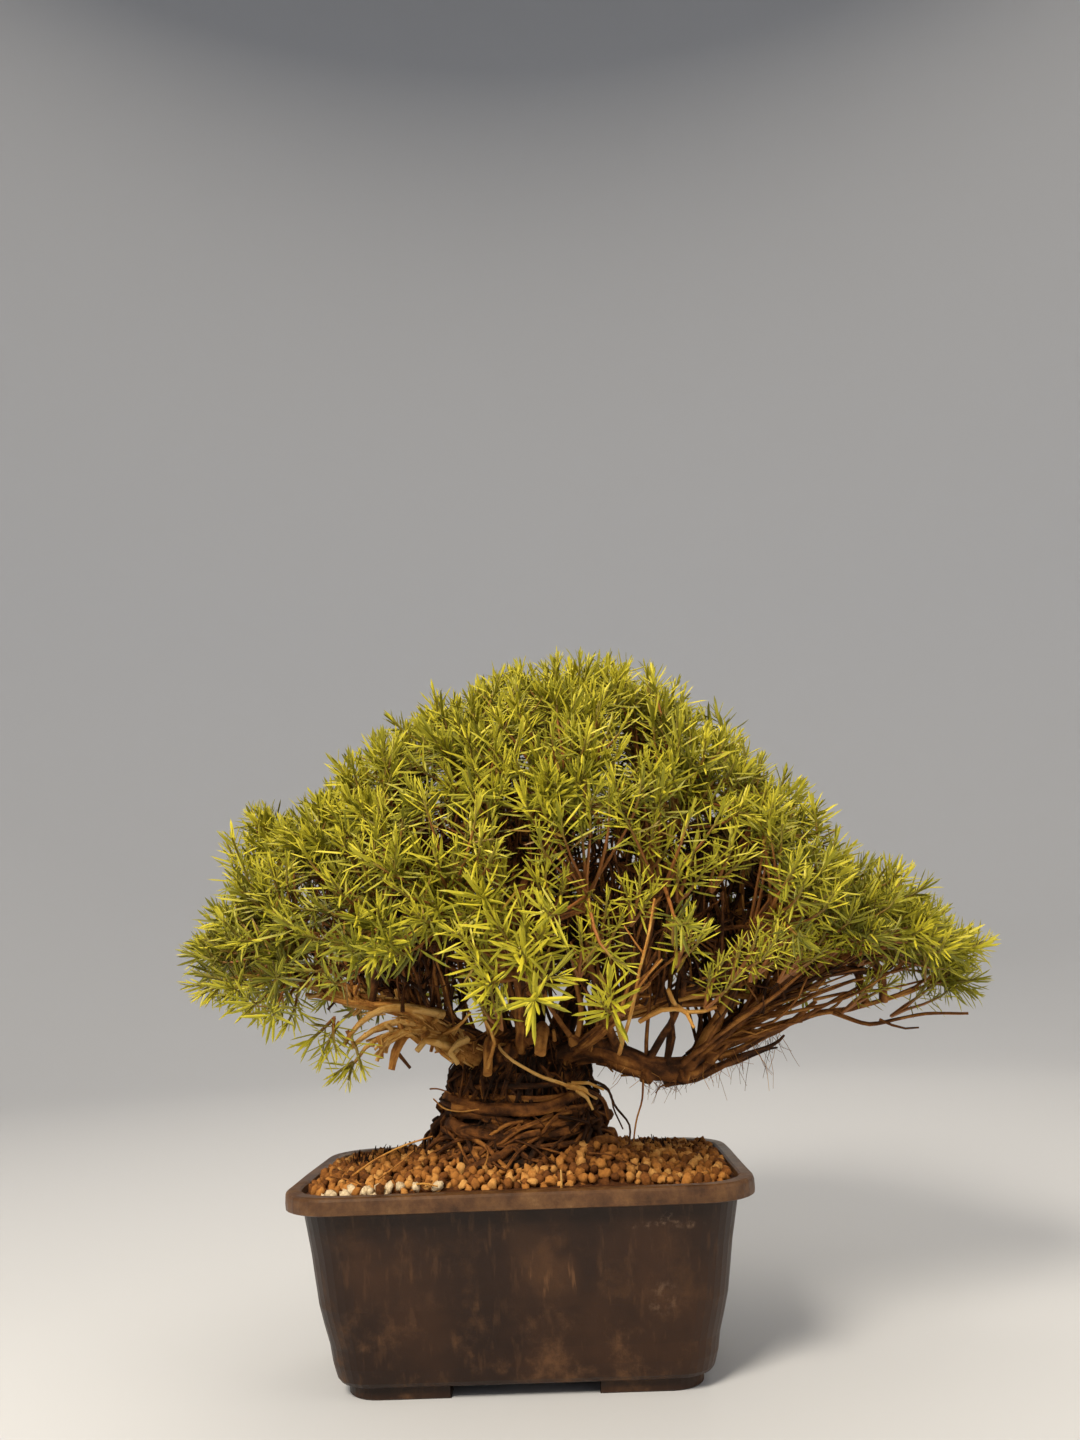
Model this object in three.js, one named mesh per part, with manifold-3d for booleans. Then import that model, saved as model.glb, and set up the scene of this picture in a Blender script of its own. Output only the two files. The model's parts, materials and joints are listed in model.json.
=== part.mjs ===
// Rosemary bonsai in a plastic training pot.
// Millimetres, +Z up, the front of the tree towards -Y. The group stands on z = 0, with its
// origin under the middle of its own bounding box.

import * as THREE from 'three';
import { mergeVertices } from 'three/addons/utils/BufferGeometryUtils.js';
import Module from 'manifold-3d';

const wasm = await Module();
wasm.setup();
const { Manifold, Mesh: TriangleMesh } = wasm;

// Driving dimensions

const GAP = 0.4; // clearance between pieces that rest against each other

const POT = {
  halfLength: 100,
  halfDepth: 66,
  height: 82,
  corner: 24,
  floorTop: 8,
  footHeight: 5,
  lipHeight: 7,
  lipWall: 1.8,
  arcSteps: 3,
};

const FOOT = { inset: 25, width: 10, gapX: 31, gapY: 15 };

const DRAIN = { radius: 4, sides: 8, x: [-52, 0, 52], y: [-24, 24] };

const SOIL = {
  edgeZ: 80.5,
  moundHeight: 16,
  moundX: -3,
  spreadX: 62,
  spreadY: 44,
  dipDepth: 5,
  dipX: -3,
  dipY: -46,
  lattice: 6.8,
  grain: 2.8,
};

const ROOT_BASE = { halfX: 46, halfY: 39, bottom: 56, top: 92, sides: 16 };

// Needles: one whorl of three for each tilt from the shoot's axis, and a bud at the tip.
const NEEDLE = { length: 15, width: 2.2, step: 2.8, bud: 3, tilts: [1.25, 0.75] };
const SPRAY = { reach: 38, stem: 11, shoots: 5, core: 9, coreSlim: 0.6, shootWidth: 1.4 };
const CLEAR = 0.9; // least distance from a needle or shoot to any other piece
const FAR = 90; // pieces that start further apart than this never meet
const TRIES = 8; // draws for a needle's direction before its place stays bare
const TWIG = { radius: [2.2, 1.2], sides: 3, steps: 2 };

// The crown: for each x, the height of its top and of its lower edge, and its half depth.
const CROWN = [
  { x: -151, top: 190, low: 168, half: 26 },
  { x: -126, top: 236, low: 152, half: 66 },
  { x: -98, top: 262, low: 142, half: 92 },
  { x: -60, top: 289, low: 140, half: 112 },
  { x: -20, top: 307, low: 152, half: 124 },
  { x: 25, top: 316, low: 158, half: 128 },
  { x: 70, top: 311, low: 154, half: 124 },
  { x: 110, top: 284, low: 146, half: 110 },
  { x: 150, top: 236, low: 147, half: 86 },
  { x: 188, top: 202, low: 151, half: 54 },
  { x: 218, top: 180, low: 158, half: 20 },
];

// Arches of sprays from the front edge over the top to the back edge.
const ARCHES = [
  { x: -148, count: 2 },
  { x: -109, count: 4 },
  { x: -68, count: 5 },
  { x: -22, count: 6 },
  { x: 28, count: 7 },
  { x: 76, count: 6 },
  { x: 122, count: 5 },
  { x: 166, count: 4 },
  { x: 199, count: 2 },
];
const ARCH_STEP = 46; // distance along x that one arch covers

// Sprays at the ends of limbs: hanging out of the open front, at the low left and the right tip.
const END_SPRAYS = [
  { limb: 'leftLow', tip: [-83, -50, 108], spread: 12 },
  { limb: 'rightFar', tip: [221, 4, 160], spread: 14 },
  { limb: 'front', tip: [-16, -116, 180], spread: 20 },
  { limb: 'frontRight', tip: [60, -114, 156], spread: 17 },
];

// Limbs: each a route through its points, with its radius at both ends.
const LIMBS = {
  rightLow: {
    radius: [8.5, 2],
    route: [[10, -4, 128], [34, -16, 134], [58, -26, 125], [72, -24, 122], [85, -18, 129],
      [100, -12, 139], [118, -8, 151], [144, -6, 167], [165, -4, 180]],
  },
  rightCross: {
    radius: [3.6, 3],
    route: [[34, -8, 140], [57, -28, 152], [80, -24, 155], [100, -16, 155], [120, -8, 152]],
  },
  rightFar: {
    radius: [3.4, 1.5],
    route: [[88, -17, 130], [117, -8, 138], [136, -2, 143], [152, 2, 145], [176, 6, 149], [195, 7, 155]],
  },
  rightBack: {
    radius: [2.8, 1.6],
    route: [[98, -13, 137], [118, 12, 146], [140, 32, 156], [160, 40, 166]],
  },
  bareFork: {
    radius: [1.5, 0.9],
    route: [[150, 2, 145], [166, -6, 139], [187, -14, 143], [206, -24, 143]],
  },
  leftTop: {
    radius: [6.5, 2],
    route: [[-6, -4, 126], [-27, -16, 135], [-38, -24, 145], [-50, -30, 154], [-66, -34, 157],
      [-88, -36, 164], [-114, -30, 176]],
  },
  leftLow: {
    radius: [3.4, 1.4],
    route: [[-30, -18, 138], [-46, -31, 144], [-58, -38, 143], [-66, -42, 139], [-71, -45, 133]],
  },
  leftStub: {
    radius: [2.6, 1.5],
    route: [[-42, -27, 147], [-50, -32, 143], [-54, -36, 137], [-56, -38, 129]],
  },
  leftBack: {
    radius: [5.5, 2],
    route: [[-6, 8, 128], [-34, 26, 145], [-64, 40, 158], [-94, 42, 174]],
  },
  leaderLeft: {
    radius: [7, 2],
    route: [[-4, -2, 126], [-14, -10, 160], [-28, -14, 192], [-40, -16, 222], [-46, -16, 246]],
  },
  leaderMiddle: {
    radius: [8, 2],
    route: [[4, 4, 126], [8, 8, 168], [4, 4, 205], [12, 6, 240], [16, 4, 266]],
  },
  leaderRight: {
    radius: [7, 2],
    route: [[14, 0, 126], [30, 4, 162], [52, 0, 194], [72, -2, 222], [82, -2, 244]],
  },
  front: {
    radius: [5, 1.8],
    route: [[0, -10, 128], [4, -38, 156], [2, -62, 180], [-2, -82, 198]],
  },
  frontRight: {
    radius: [4, 1.6],
    route: [[24, -12, 132], [42, -36, 144], [52, -56, 156], [58, -74, 162]],
  },
  back: {
    radius: [5.5, 2],
    route: [[2, 16, 126], [0, 42, 156], [0, 66, 184], [2, 82, 208]],
  },
  backRight: {
    radius: [5, 2],
    route: [[18, 10, 128], [50, 34, 150], [80, 50, 168], [108, 56, 186]],
  },
  pegStub: { radius: [2.8, 2.6], route: [[-8, -8, 137], [-13, -28, 138], [-13, -38, 125]] },
  paleStub: { radius: [3.4, 3], route: [[6, -8, 138], [12, -30, 144], [11, -42, 134]] },
  paleRoot: {
    radius: [1.5, 1.7],
    route: [[-4, -8, 136], [-8, -30, 136], [4, -38, 127], [20, -36, 120], [34, -28, 114]],
  },
};

// Roots wound round the base: start and end angle in degrees, and their heights.
const COILS = [
  { from: 175, to: 365, z: [110, 112], radius: 4.6, ring: [36.5, 30] },
  { from: 205, to: 345, z: [101, 95], radius: 3.4, ring: [39.5, 34] },
];

// The trunk above the soil: half sizes and sideways shift at each height. A ridge of 1 is the
// crest of a wound root, -1 the groove between two.
const TRUNK = [
  { z: 92, x: 43, y: 36, shift: 0, ridge: 1 },
  { z: 96, x: 36, y: 29, shift: 0, ridge: -1 },
  { z: 101, x: 41.5, y: 34.5, shift: 0, ridge: 1 },
  { z: 105, x: 35, y: 28, shift: 0, ridge: -1 },
  { z: 111, x: 38.5, y: 31.5, shift: -1, ridge: 1 },
  { z: 116, x: 32, y: 26, shift: -1, ridge: -1 },
  { z: 121, x: 35, y: 28, shift: -1, ridge: 1 },
  { z: 128, x: 30, y: 23, shift: 0, ridge: 0 },
  { z: 136, x: 27, y: 19, shift: 2, ridge: 0 },
  { z: 143, x: 20, y: 13, shift: 4, ridge: 0 },
];

const COLOURS = {
  pot: 0x33241d,
  soil: 0x8a5a33,
  wood: 0x6b4a2f,
  needles: [0x8f9c34, 0x7d8d2e, 0x9aa53c],
};

// Helpers

const vec = (point) => new THREE.Vector3(...point);

/** Repeatable draw between 0 and 1, for one piece and one purpose. */
function draw(piece, purpose) {
  const wave = Math.sin(piece * 12.9898 + purpose * 78.233) * 43758.5453;
  return wave - Math.floor(wave);
}

/** A closed solid through rings of equal point counts, with a flat fan over both ends. */
function loft(rings) {
  const count = rings[0].length;
  const positions = rings.flat().flatMap((p) => [p.x, p.y, p.z]);
  const faces = [];
  for (let i = 0; i + 1 < rings.length; i += 1) {
    for (let j = 0; j < count; j += 1) {
      const a = i * count + j;
      const b = i * count + (j + 1) % count;
      faces.push(a, b, b + count, a, b + count, a + count);
    }
  }
  const last = (rings.length - 1) * count;
  for (let j = 1; j + 1 < count; j += 1) {
    faces.push(0, j + 1, j);
    faces.push(last, last + j, last + j + 1);
  }
  return facingOut(positions, faces);
}

/** A BufferGeometry whose faces are turned to point out of the volume that they enclose. */
function facingOut(positions, faces) {
  const corner = (i) => new THREE.Vector3().fromArray(positions, 3 * i);
  let volume = 0;
  for (let f = 0; f < faces.length; f += 3) {
    const [a, b, c] = [faces[f], faces[f + 1], faces[f + 2]].map(corner);
    volume += a.dot(b.cross(c));
  }
  const geometry = new THREE.BufferGeometry();
  geometry.setAttribute('position', new THREE.Float32BufferAttribute(positions, 3));
  geometry.setIndex(volume > 0 ? faces : faces.toReversed());
  return geometry;
}

/** A tapered round branch along a smooth route. */
function branch(route, radii, sides, steps) {
  const path = new THREE.CatmullRomCurve3(route);
  const frames = path.computeFrenetFrames(steps, false);
  const rings = [];
  for (let i = 0; i <= steps; i += 1) {
    const centre = path.getPointAt(i / steps);
    const radius = THREE.MathUtils.lerp(radii[0], radii[1], i / steps);
    const ring = [];
    for (let j = 0; j < sides; j += 1) {
      const turn = 2 * Math.PI * j / sides;
      ring.push(centre.clone()
        .addScaledVector(frames.normals[i], radius * Math.cos(turn))
        .addScaledVector(frames.binormals[i], radius * Math.sin(turn)));
    }
    rings.push(ring);
  }
  return loft(rings);
}

/** A solid for joining and cutting, from a closed geometry. */
function solidOf(geometry) {
  geometry.deleteAttribute('normal');
  geometry.deleteAttribute('uv');
  const merged = mergeVertices(geometry);
  return new Manifold(new TriangleMesh({
    numProp: 3,
    vertProperties: Float32Array.from(merged.attributes.position.array),
    triVerts: Uint32Array.from(merged.index.array),
  }));
}

/** A named mesh from one solid. */
function meshOf(name, solid, material) {
  const { vertProperties, triVerts } = solid.getMesh();
  const geometry = new THREE.BufferGeometry();
  geometry.setAttribute('position', new THREE.BufferAttribute(Float32Array.from(vertProperties), 3));
  geometry.setIndex(new THREE.BufferAttribute(Uint32Array.from(triVerts), 1));
  geometry.computeVertexNormals();
  const mesh = new THREE.Mesh(geometry, material);
  mesh.name = name;
  return mesh;
}

function material(color, roughness) {
  return new THREE.MeshStandardMaterial({ color, roughness, metalness: 0 });
}

/** A level outline of the pot: its rim outline drawn in by an inset. */
function potRing(inset, z) {
  const x = POT.halfLength - inset;
  const y = POT.halfDepth - inset;
  const corner = Math.max(POT.corner - 0.4 * inset, 8);
  const ring = [];
  for (let quarter = 0; quarter < 4; quarter += 1) {
    const side = [[1, 1], [-1, 1], [-1, -1], [1, -1]][quarter];
    for (let i = 0; i <= POT.arcSteps; i += 1) {
      const turn = (quarter + i / POT.arcSteps) * Math.PI / 2;
      ring.push(new THREE.Vector3(
        side[0] * (x - corner) + corner * Math.cos(turn),
        side[1] * (y - corner) + corner * Math.sin(turn),
        z,
      ));
    }
  }
  return ring;
}

/** A level ellipse with a given number of sides. */
function ellipse(halfX, halfY, z, sides, centre = [0, 0]) {
  return Array.from({ length: sides }, (_, i) => {
    const turn = 2 * Math.PI * i / sides;
    return new THREE.Vector3(centre[0] + halfX * Math.cos(turn), centre[1] + halfY * Math.sin(turn), z);
  });
}

/** A box between two corners. */
function boxBetween(low, high) {
  const size = high.map((value, i) => value - low[i]);
  const geometry = new THREE.BoxGeometry(...size);
  geometry.translate(...low.map((value, i) => value + size[i] / 2));
  return solidOf(geometry);
}

// Pot: a thin moulded shell with a hooked lip, corner feet and drainage holes.

const WALL_OUTSIDE = [[20, 17.7], [36, 13.3], [56, 10]];
const WALL_INSIDE = [[56, 12.2], [36, 15.5], [20, 20]];
const INNER_EDGE = { z: 75, inset: 8.2 };

function makePot() {
  const { height, lipHeight, lipWall, footHeight, floorTop } = POT;
  const lipBottom = height - lipHeight;
  const profile = [
    [footHeight, 23.5],
    [footHeight + 2, 20.6],
    ...WALL_OUTSIDE,
    [height - lipWall, 5.4],
    [height - lipWall, lipWall],
    [lipBottom, lipWall],
    [lipBottom, 0],
    [height - 0.7, 0],
    [height, 0.8],
    [height, 5.8],
    [INNER_EDGE.z, INNER_EDGE.inset],
    ...WALL_INSIDE,
    [floorTop, 24],
  ];
  const shell = solidOf(loft(profile.map(([z, inset]) => potRing(inset, z))));

  const footTop = footHeight + 1;
  const outer = solidOf(loft([potRing(FOOT.inset + 1, 0), potRing(FOOT.inset, footTop)]));
  const inner = solidOf(loft([-1, footTop + 1].map((z) => potRing(FOOT.inset + FOOT.width, z))));
  const gapX = boxBetween([-FOOT.gapX, -POT.halfDepth, -1], [FOOT.gapX, POT.halfDepth, footTop + 1]);
  const gapY = boxBetween([-POT.halfLength, -FOOT.gapY, -1], [POT.halfLength, FOOT.gapY, footTop + 1]);
  const feet = outer.subtract(Manifold.union([inner, gapX, gapY]));

  let pot = shell.add(feet);
  for (const x of DRAIN.x) {
    for (const y of DRAIN.y) {
      const drain = new THREE.CylinderGeometry(DRAIN.radius, DRAIN.radius, 2 * floorTop, DRAIN.sides);
      drain.rotateX(Math.PI / 2);
      drain.translate(x, y, floorTop - 1);
      pot = pot.subtract(solidOf(drain));
    }
  }
  return meshOf('pot', pot, material(COLOURS.pot, 0.7));
}

// Soil: it fills the shell, rises to a mound round the roots, and its granules are a relief.

function soilHeight(x, y) {
  const mound = Math.exp(-(((x - SOIL.moundX) / SOIL.spreadX) ** 2) - (y / SOIL.spreadY) ** 2);
  const dip = Math.exp(-(((x - SOIL.dipX) / 24) ** 2) - ((y - SOIL.dipY) / 14) ** 2);
  return SOIL.edgeZ + SOIL.moundHeight * mound - SOIL.dipDepth * dip;
}

/** A block whose top is a lattice with every third point raised as the crown of a granule. */
function granuleBlock() {
  const columns = Math.ceil(2 * POT.halfLength / SOIL.lattice);
  const rows = Math.ceil(2 * POT.halfDepth / (SOIL.lattice * Math.sqrt(0.75)));
  const top = [];
  const bottom = [];
  for (let row = 0; row <= rows; row += 1) {
    for (let column = 0; column <= columns; column += 1) {
      const piece = row * (columns + 1) + column;
      const x = (column - columns / 2 + (row % 2) / 2) * SOIL.lattice + 1.4 * (draw(piece, 1) - 0.5);
      const y = (row - rows / 2) * SOIL.lattice * Math.sqrt(0.75) + 1.4 * (draw(piece, 2) - 0.5);
      const crownOfGranule = (column + (row % 2 ? 2 : 0)) % 3 === 0;
      const relief = crownOfGranule ? SOIL.grain * (0.7 + 0.5 * draw(piece, 3)) : 0.6 * draw(piece, 4);
      top.push(x, y, soilHeight(x, y) + relief);
      bottom.push(x, y, 0);
    }
  }
  const half = top.length / 3;
  const at = (row, column) => row * (columns + 1) + column;
  const faces = [];
  for (let row = 0; row < rows; row += 1) {
    for (let column = 0; column < columns; column += 1) {
      const [a, b] = [at(row, column), at(row, column + 1)];
      const [c, d] = [at(row + 1, column + 1), at(row + 1, column)];
      const cells = row % 2 ? [[a, b, c], [a, c, d]] : [[a, b, d], [b, c, d]];
      for (const [i, j, k] of cells) {
        faces.push(i, j, k, half + i, half + k, half + j);
      }
    }
  }
  const rim = [];
  for (let column = 0; column < columns; column += 1) rim.push(at(0, column));
  for (let row = 0; row < rows; row += 1) rim.push(at(row, columns));
  for (let column = columns; column > 0; column -= 1) rim.push(at(rows, column));
  for (let row = rows; row > 0; row -= 1) rim.push(at(row, 0));
  rim.forEach((a, i) => {
    const b = rim[(i + 1) % rim.length];
    faces.push(a, half + a, half + b, a, half + b, b);
  });
  return solidOf(facingOut([...top, ...bottom], faces));
}

function makeSoil() {
  const fill = [
    [POT.floorTop + GAP, 24 + GAP],
    ...WALL_INSIDE.toReversed().map(([z, inset]) => [z, inset + 2 * GAP]),
    [INNER_EDGE.z, INNER_EDGE.inset + 2 * GAP],
    [POT.height + 30, INNER_EDGE.inset + 2 * GAP],
  ];
  const plug = solidOf(loft(fill.map(([z, inset]) => potRing(inset, z))));
  const { halfX, halfY, bottom, sides } = ROOT_BASE;
  const hole = solidOf(loft([bottom - GAP, POT.height + 30].map(
    (z) => ellipse(halfX + 2 * GAP, halfY + 2 * GAP, z, sides),
  )));
  const soil = plug.intersect(granuleBlock()).subtract(hole);
  return meshOf('soil', soil, material(COLOURS.soil, 0.95));
}

// Wood: root base, fluted trunk, wound roots, limbs and one twig for each spray.

/** Round pieces already placed, as segments with a radius and the name of their owner. */
const placed = [];

function place(owner, start, end, radius) {
  placed.push({ owner, start: start.clone(), end: end.clone(), radius });
}

function placeRoute(owner, route, radii, steps) {
  const points = new THREE.CatmullRomCurve3(route).getSpacedPoints(steps);
  for (let i = 0; i < steps; i += 1) {
    place(owner, points[i], points[i + 1], THREE.MathUtils.lerp(radii[0], radii[1], i / steps));
  }
}

/** Least distance between two segments, found by sampling the first one. */
function segmentDistance(start, end, other) {
  const line = new THREE.Line3(other.start, other.end);
  const nearest = new THREE.Vector3();
  let best = Infinity;
  for (let i = 0; i <= 8; i += 1) {
    const point = start.clone().lerp(end, i / 8);
    line.closestPointToPoint(point, true, nearest);
    best = Math.min(best, nearest.distanceTo(point) - other.radius);
  }
  return best;
}

/** Whether a segment stays clear of every piece that isn't its owner's. */
function isClear(owner, start, end, radius) {
  return placed.every((other) => other.owner.startsWith(owner)
    || other.start.distanceTo(start) > FAR
    || segmentDistance(start, end, other) > radius + CLEAR);
}

/** Rings of the trunk: a plain base in the soil, then wound roots as sloping ridges, then flutes. */
function trunkRings() {
  const { halfX, halfY, bottom, top, sides } = ROOT_BASE;
  const rings = [
    ellipse(halfX - 2, halfY - 2, bottom, sides),
    ellipse(halfX, halfY, top - 3, sides),
  ];
  for (const { z, x, y, shift, ridge } of TRUNK) {
    rings.push(ellipse(x, y, z, sides).map((point, i) => {
      const turn = 2 * Math.PI * i / sides;
      const flute = 1 + 0.05 * Math.sin(5 * turn + 0.12 * z) - 0.04 * draw(i, 3);
      const slope = ridge * 2.4 * Math.sin(turn + 0.9 * z);
      return new THREE.Vector3(shift + point.x * flute, point.y * flute, z + slope);
    }));
  }
  return rings;
}

/** The route of one wound root, from its angles and heights. */
function coilRoute({ from, to, z, ring }) {
  const steps = Math.round((to - from) / 26);
  return Array.from({ length: steps + 1 }, (_, i) => {
    const turn = THREE.MathUtils.degToRad(THREE.MathUtils.lerp(from, to, i / steps));
    const sway = 1 - 0.03 * Math.sin(3 * turn + from);
    const height = THREE.MathUtils.lerp(z[0], z[1], i / steps) + 1.2 * Math.sin(2 * turn + to);
    return new THREE.Vector3(ring[0] * sway * Math.cos(turn), ring[1] * sway * Math.sin(turn), height);
  });
}

/** Where the crown's surface lies: along x, and by angle from the front edge over the top. */
function crownPoint(x, angle) {
  const clamped = THREE.MathUtils.clamp(x, CROWN[0].x, CROWN.at(-1).x);
  const next = Math.max(1, CROWN.findIndex((station) => station.x >= clamped));
  const [a, b] = [CROWN[next - 1], CROWN[next]];
  const t = (clamped - a.x) / (b.x - a.x);
  const mix = (key) => THREE.MathUtils.lerp(a[key], b[key], t);
  const rise = Math.sin(THREE.MathUtils.clamp(angle, 0.02, Math.PI - 0.02)) ** 0.8;
  return new THREE.Vector3(
    clamped,
    -mix('half') * Math.cos(angle),
    THREE.MathUtils.lerp(mix('low'), mix('top'), rise),
  );
}

/** A unit direction at a tilt from an axis, turned round it. */
function tilted(axis, tilt, turn) {
  const across = new THREE.Vector3(0.31, -0.87, 0.39).cross(axis).normalize();
  const along = new THREE.Vector3().crossVectors(axis, across);
  return axis.clone().multiplyScalar(Math.cos(tilt))
    .addScaledVector(across, Math.sin(tilt) * Math.cos(turn))
    .addScaledVector(along, Math.sin(tilt) * Math.sin(turn));
}

/** Every spray: where its twig ends, its direction, and the tips of its shoots. */
function planSprays() {
  const sprays = [];
  ARCHES.forEach(({ x, count }, arch) => {
    for (let i = 0; i < count; i += 1) {
      const id = sprays.length;
      const width = Math.PI / count;
      const angle = width * (i + 0.5);
      const stagger = (arch % 2 ? 4 : -4) * (i % 2 ? 1 : -1);
      const centre = crownPoint(x + 10 * (draw(id, 11) - 0.5) + stagger, angle);
      const heart = new THREE.Vector3(0.66 * centre.x + 6, 0.12 * centre.y, Math.min(178, centre.z - 14));
      const inward = heart.sub(centre);
      const reach = Math.min(SPRAY.reach, 0.5 * inward.length());
      const base = centre.clone().addScaledVector(inward.normalize(), reach);
      const tips = [];
      for (let k = 0; k < SPRAY.shoots; k += 1) {
        const turn = 2 * Math.PI * (k / SPRAY.shoots + 0.13 * draw(id, 20 + k) + 0.1 * i);
        const out = k === 0 ? 0.1 : 0.36 + 0.05 * draw(id, 30 + k);
        tips.push(crownPoint(
          centre.x + ARCH_STEP * out * Math.cos(turn),
          angle + width * out * Math.sin(turn) * (count > 2 ? 1 : 0.8),
        ));
      }
      sprays.push({ base, direction: centre.clone().sub(base).normalize(), tips });
    }
  });
  for (const { limb, tip, spread } of END_SPRAYS) {
    const path = new THREE.CatmullRomCurve3(LIMBS[limb].route.map(vec));
    const base = path.getPointAt(1);
    const direction = path.getTangentAt(1);
    const heart = base.clone().addScaledVector(direction, SPRAY.stem);
    const axis = vec(tip).sub(heart);
    const length = axis.length();
    axis.normalize();
    const tips = [vec(tip)];
    for (let k = 1; k < SPRAY.shoots; k += 1) {
      const side = tilted(axis, Math.PI / 2, 2 * Math.PI * k / (SPRAY.shoots - 1));
      tips.push(heart.clone().addScaledVector(axis, 0.7 * length).addScaledVector(side, spread));
    }
    sprays.push({ base, direction, tips, onLimb: true });
  }
  return sprays;
}

/** The route of the twig that carries a spray, from the best placed point of a limb. */
function twigRoute({ base, direction }, limbPoints) {
  const cost = ({ point, radius, twigs }) => point.distanceTo(base)
    + Math.max(0, 1.2 * (point.z - base.z)) + (radius > 6 ? 30 : 0) + 16 * twigs;
  const best = limbPoints.reduce((a, b) => (cost(b) < cost(a) ? b : a));
  best.twigs += 1;
  const span = best.point.distanceTo(base);
  const bow = best.point.clone().lerp(base, 0.45);
  bow.z += 0.06 * span;
  return [best.point, bow, base.clone().addScaledVector(direction, -Math.min(9, 0.3 * span)), base];
}

function makeWood(sprays) {
  const parts = [loft(trunkRings())];
  const limbPoints = [];
  for (const { route, radius } of Object.values(LIMBS)) {
    const points = route.map(vec);
    const steps = points.length - 1;
    parts.push(branch(points, radius, radius[0] > 4 ? 5 : 4, steps));
    placeRoute('wood', points, radius, 2 * steps);
    if (route.length > 3) {
      const path = new THREE.CatmullRomCurve3(points);
      for (let t = 0.25; t < 0.9; t += 1 / 12) {
        limbPoints.push({
          point: path.getPointAt(t),
          radius: THREE.MathUtils.lerp(radius[0], radius[1], t),
          twigs: 0,
        });
      }
    }
  }
  for (const coil of COILS) {
    const route = coilRoute(coil);
    parts.push(branch(route, [coil.radius, 0.8 * coil.radius], 6, route.length - 1));
  }
  for (const spray of sprays.filter(({ onLimb }) => !onLimb)) {
    const route = twigRoute(spray, limbPoints);
    parts.push(branch(route, TWIG.radius, TWIG.sides, TWIG.steps));
    placeRoute('wood', route, TWIG.radius, 3 * TWIG.steps);
  }
  return meshOf('trunk_and_roots', Manifold.union(parts.map(solidOf)), material(COLOURS.wood, 0.85));
}

// Sprays: a short stem, a small core, and slim shoots that end in stars of needles.

/** The tip of a needle that grows from a root on its shoot, or null where there is no room. */
function needleTip(name, root, axis, side, whorl, piece) {
  for (let attempt = 0; attempt < TRIES; attempt += 1) {
    const tilt = NEEDLE.tilts[whorl] + 0.35 * (draw(piece, 40 + attempt) - 0.5);
    const sway = 0.7 * (draw(piece, 60 + attempt) - 0.5);
    const length = NEEDLE.length * (0.85 + 0.3 * draw(piece, 80)) * (1 - 0.05 * attempt);
    const across = side.clone().applyAxisAngle(axis, sway);
    const tip = root.clone()
      .addScaledVector(axis, length * Math.cos(tilt))
      .addScaledVector(across, length * Math.sin(tilt));
    if (isClear(name, root, tip, NEEDLE.width / 2)) {
      place(name, root, tip, NEEDLE.width / 2);
      return tip;
    }
  }
  return null;
}

/** A three-sided shoot: bare below, with each side of its last steps drawn out to a needle. */
function needleShoot(name, start, end, id) {
  const axis = end.clone().sub(start).normalize();
  const length = start.distanceTo(end);
  const whorls = NEEDLE.tilts.length;
  const sides = [0, 1, 2].map((k) => tilted(axis, Math.PI / 2, 2 * Math.PI * (k / 3 + draw(id, 7))));
  const heights = [0];
  for (let i = 0; i <= whorls; i += 1) {
    heights.push(length - NEEDLE.bud - (whorls - i) * NEEDLE.step);
  }
  const corners = heights.flatMap((height, i) => sides.map((side) => start.clone()
    .addScaledVector(axis, height)
    .addScaledVector(side, i === 0 ? SPRAY.shootWidth : NEEDLE.width / 2)));
  const faces = [0, 1, 2, 0, 3, 1, 1, 3, 4, 1, 4, 2, 2, 4, 5, 2, 5, 0, 0, 5, 3];
  for (let i = 0; i < whorls; i += 1) {
    for (let k = 0; k < 3; k += 1) {
      const a = 3 * (i + 1) + k;
      const b = 3 * (i + 1) + (k + 1) % 3;
      const between = sides[k].clone().add(sides[(k + 1) % 3]).normalize();
      const root = corners[a].clone().lerp(corners[b + 3], 0.5);
      const tip = needleTip(name, root, axis, between, i, 50 * id + 7 * i + k);
      if (tip) {
        const apex = corners.push(tip) - 1;
        faces.push(a, apex, b, b, apex, b + 3, b + 3, apex, a + 3, a + 3, apex, a);
      } else {
        faces.push(a, b + 3, b, a, a + 3, b + 3);
      }
    }
  }
  const top = 3 * (whorls + 1);
  const bud = corners.push(budEnd(start, end)) - 1;
  faces.push(top, bud, top + 1, top + 1, bud, top + 2, top + 2, bud, top);
  return facingOut(corners.flatMap((p) => [p.x, p.y, p.z]), faces);
}

const sprayName = (id) => `spray_${String(id + 1).padStart(2, '0')}`;

/** Where the bud of a shoot ends, past the tip of its stem. */
function budEnd(heart, tip) {
  return tip.clone().addScaledVector(tip.clone().sub(heart).normalize(), 0.5 * NEEDLE.length);
}

/** Stems and shoots take their places before any needle does, each bent clear of the others. */
function placeShoots({ base, direction, tips }, id) {
  const name = sprayName(id);
  const heart = base.clone().addScaledVector(direction, SPRAY.stem);
  place(`${name} stem`, base, heart, SPRAY.core * SPRAY.coreSlim);
  tips.forEach((tip, k) => {
    for (let attempt = 0; attempt < TRIES; attempt += 1) {
      if (isClear(name, heart, budEnd(heart, tip), SPRAY.shootWidth)) break;
      tip.lerp(tips[0], 0.2);
    }
    place(`${name} ${k}.`, heart, budEnd(heart, tip), SPRAY.shootWidth);
  });
}

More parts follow.
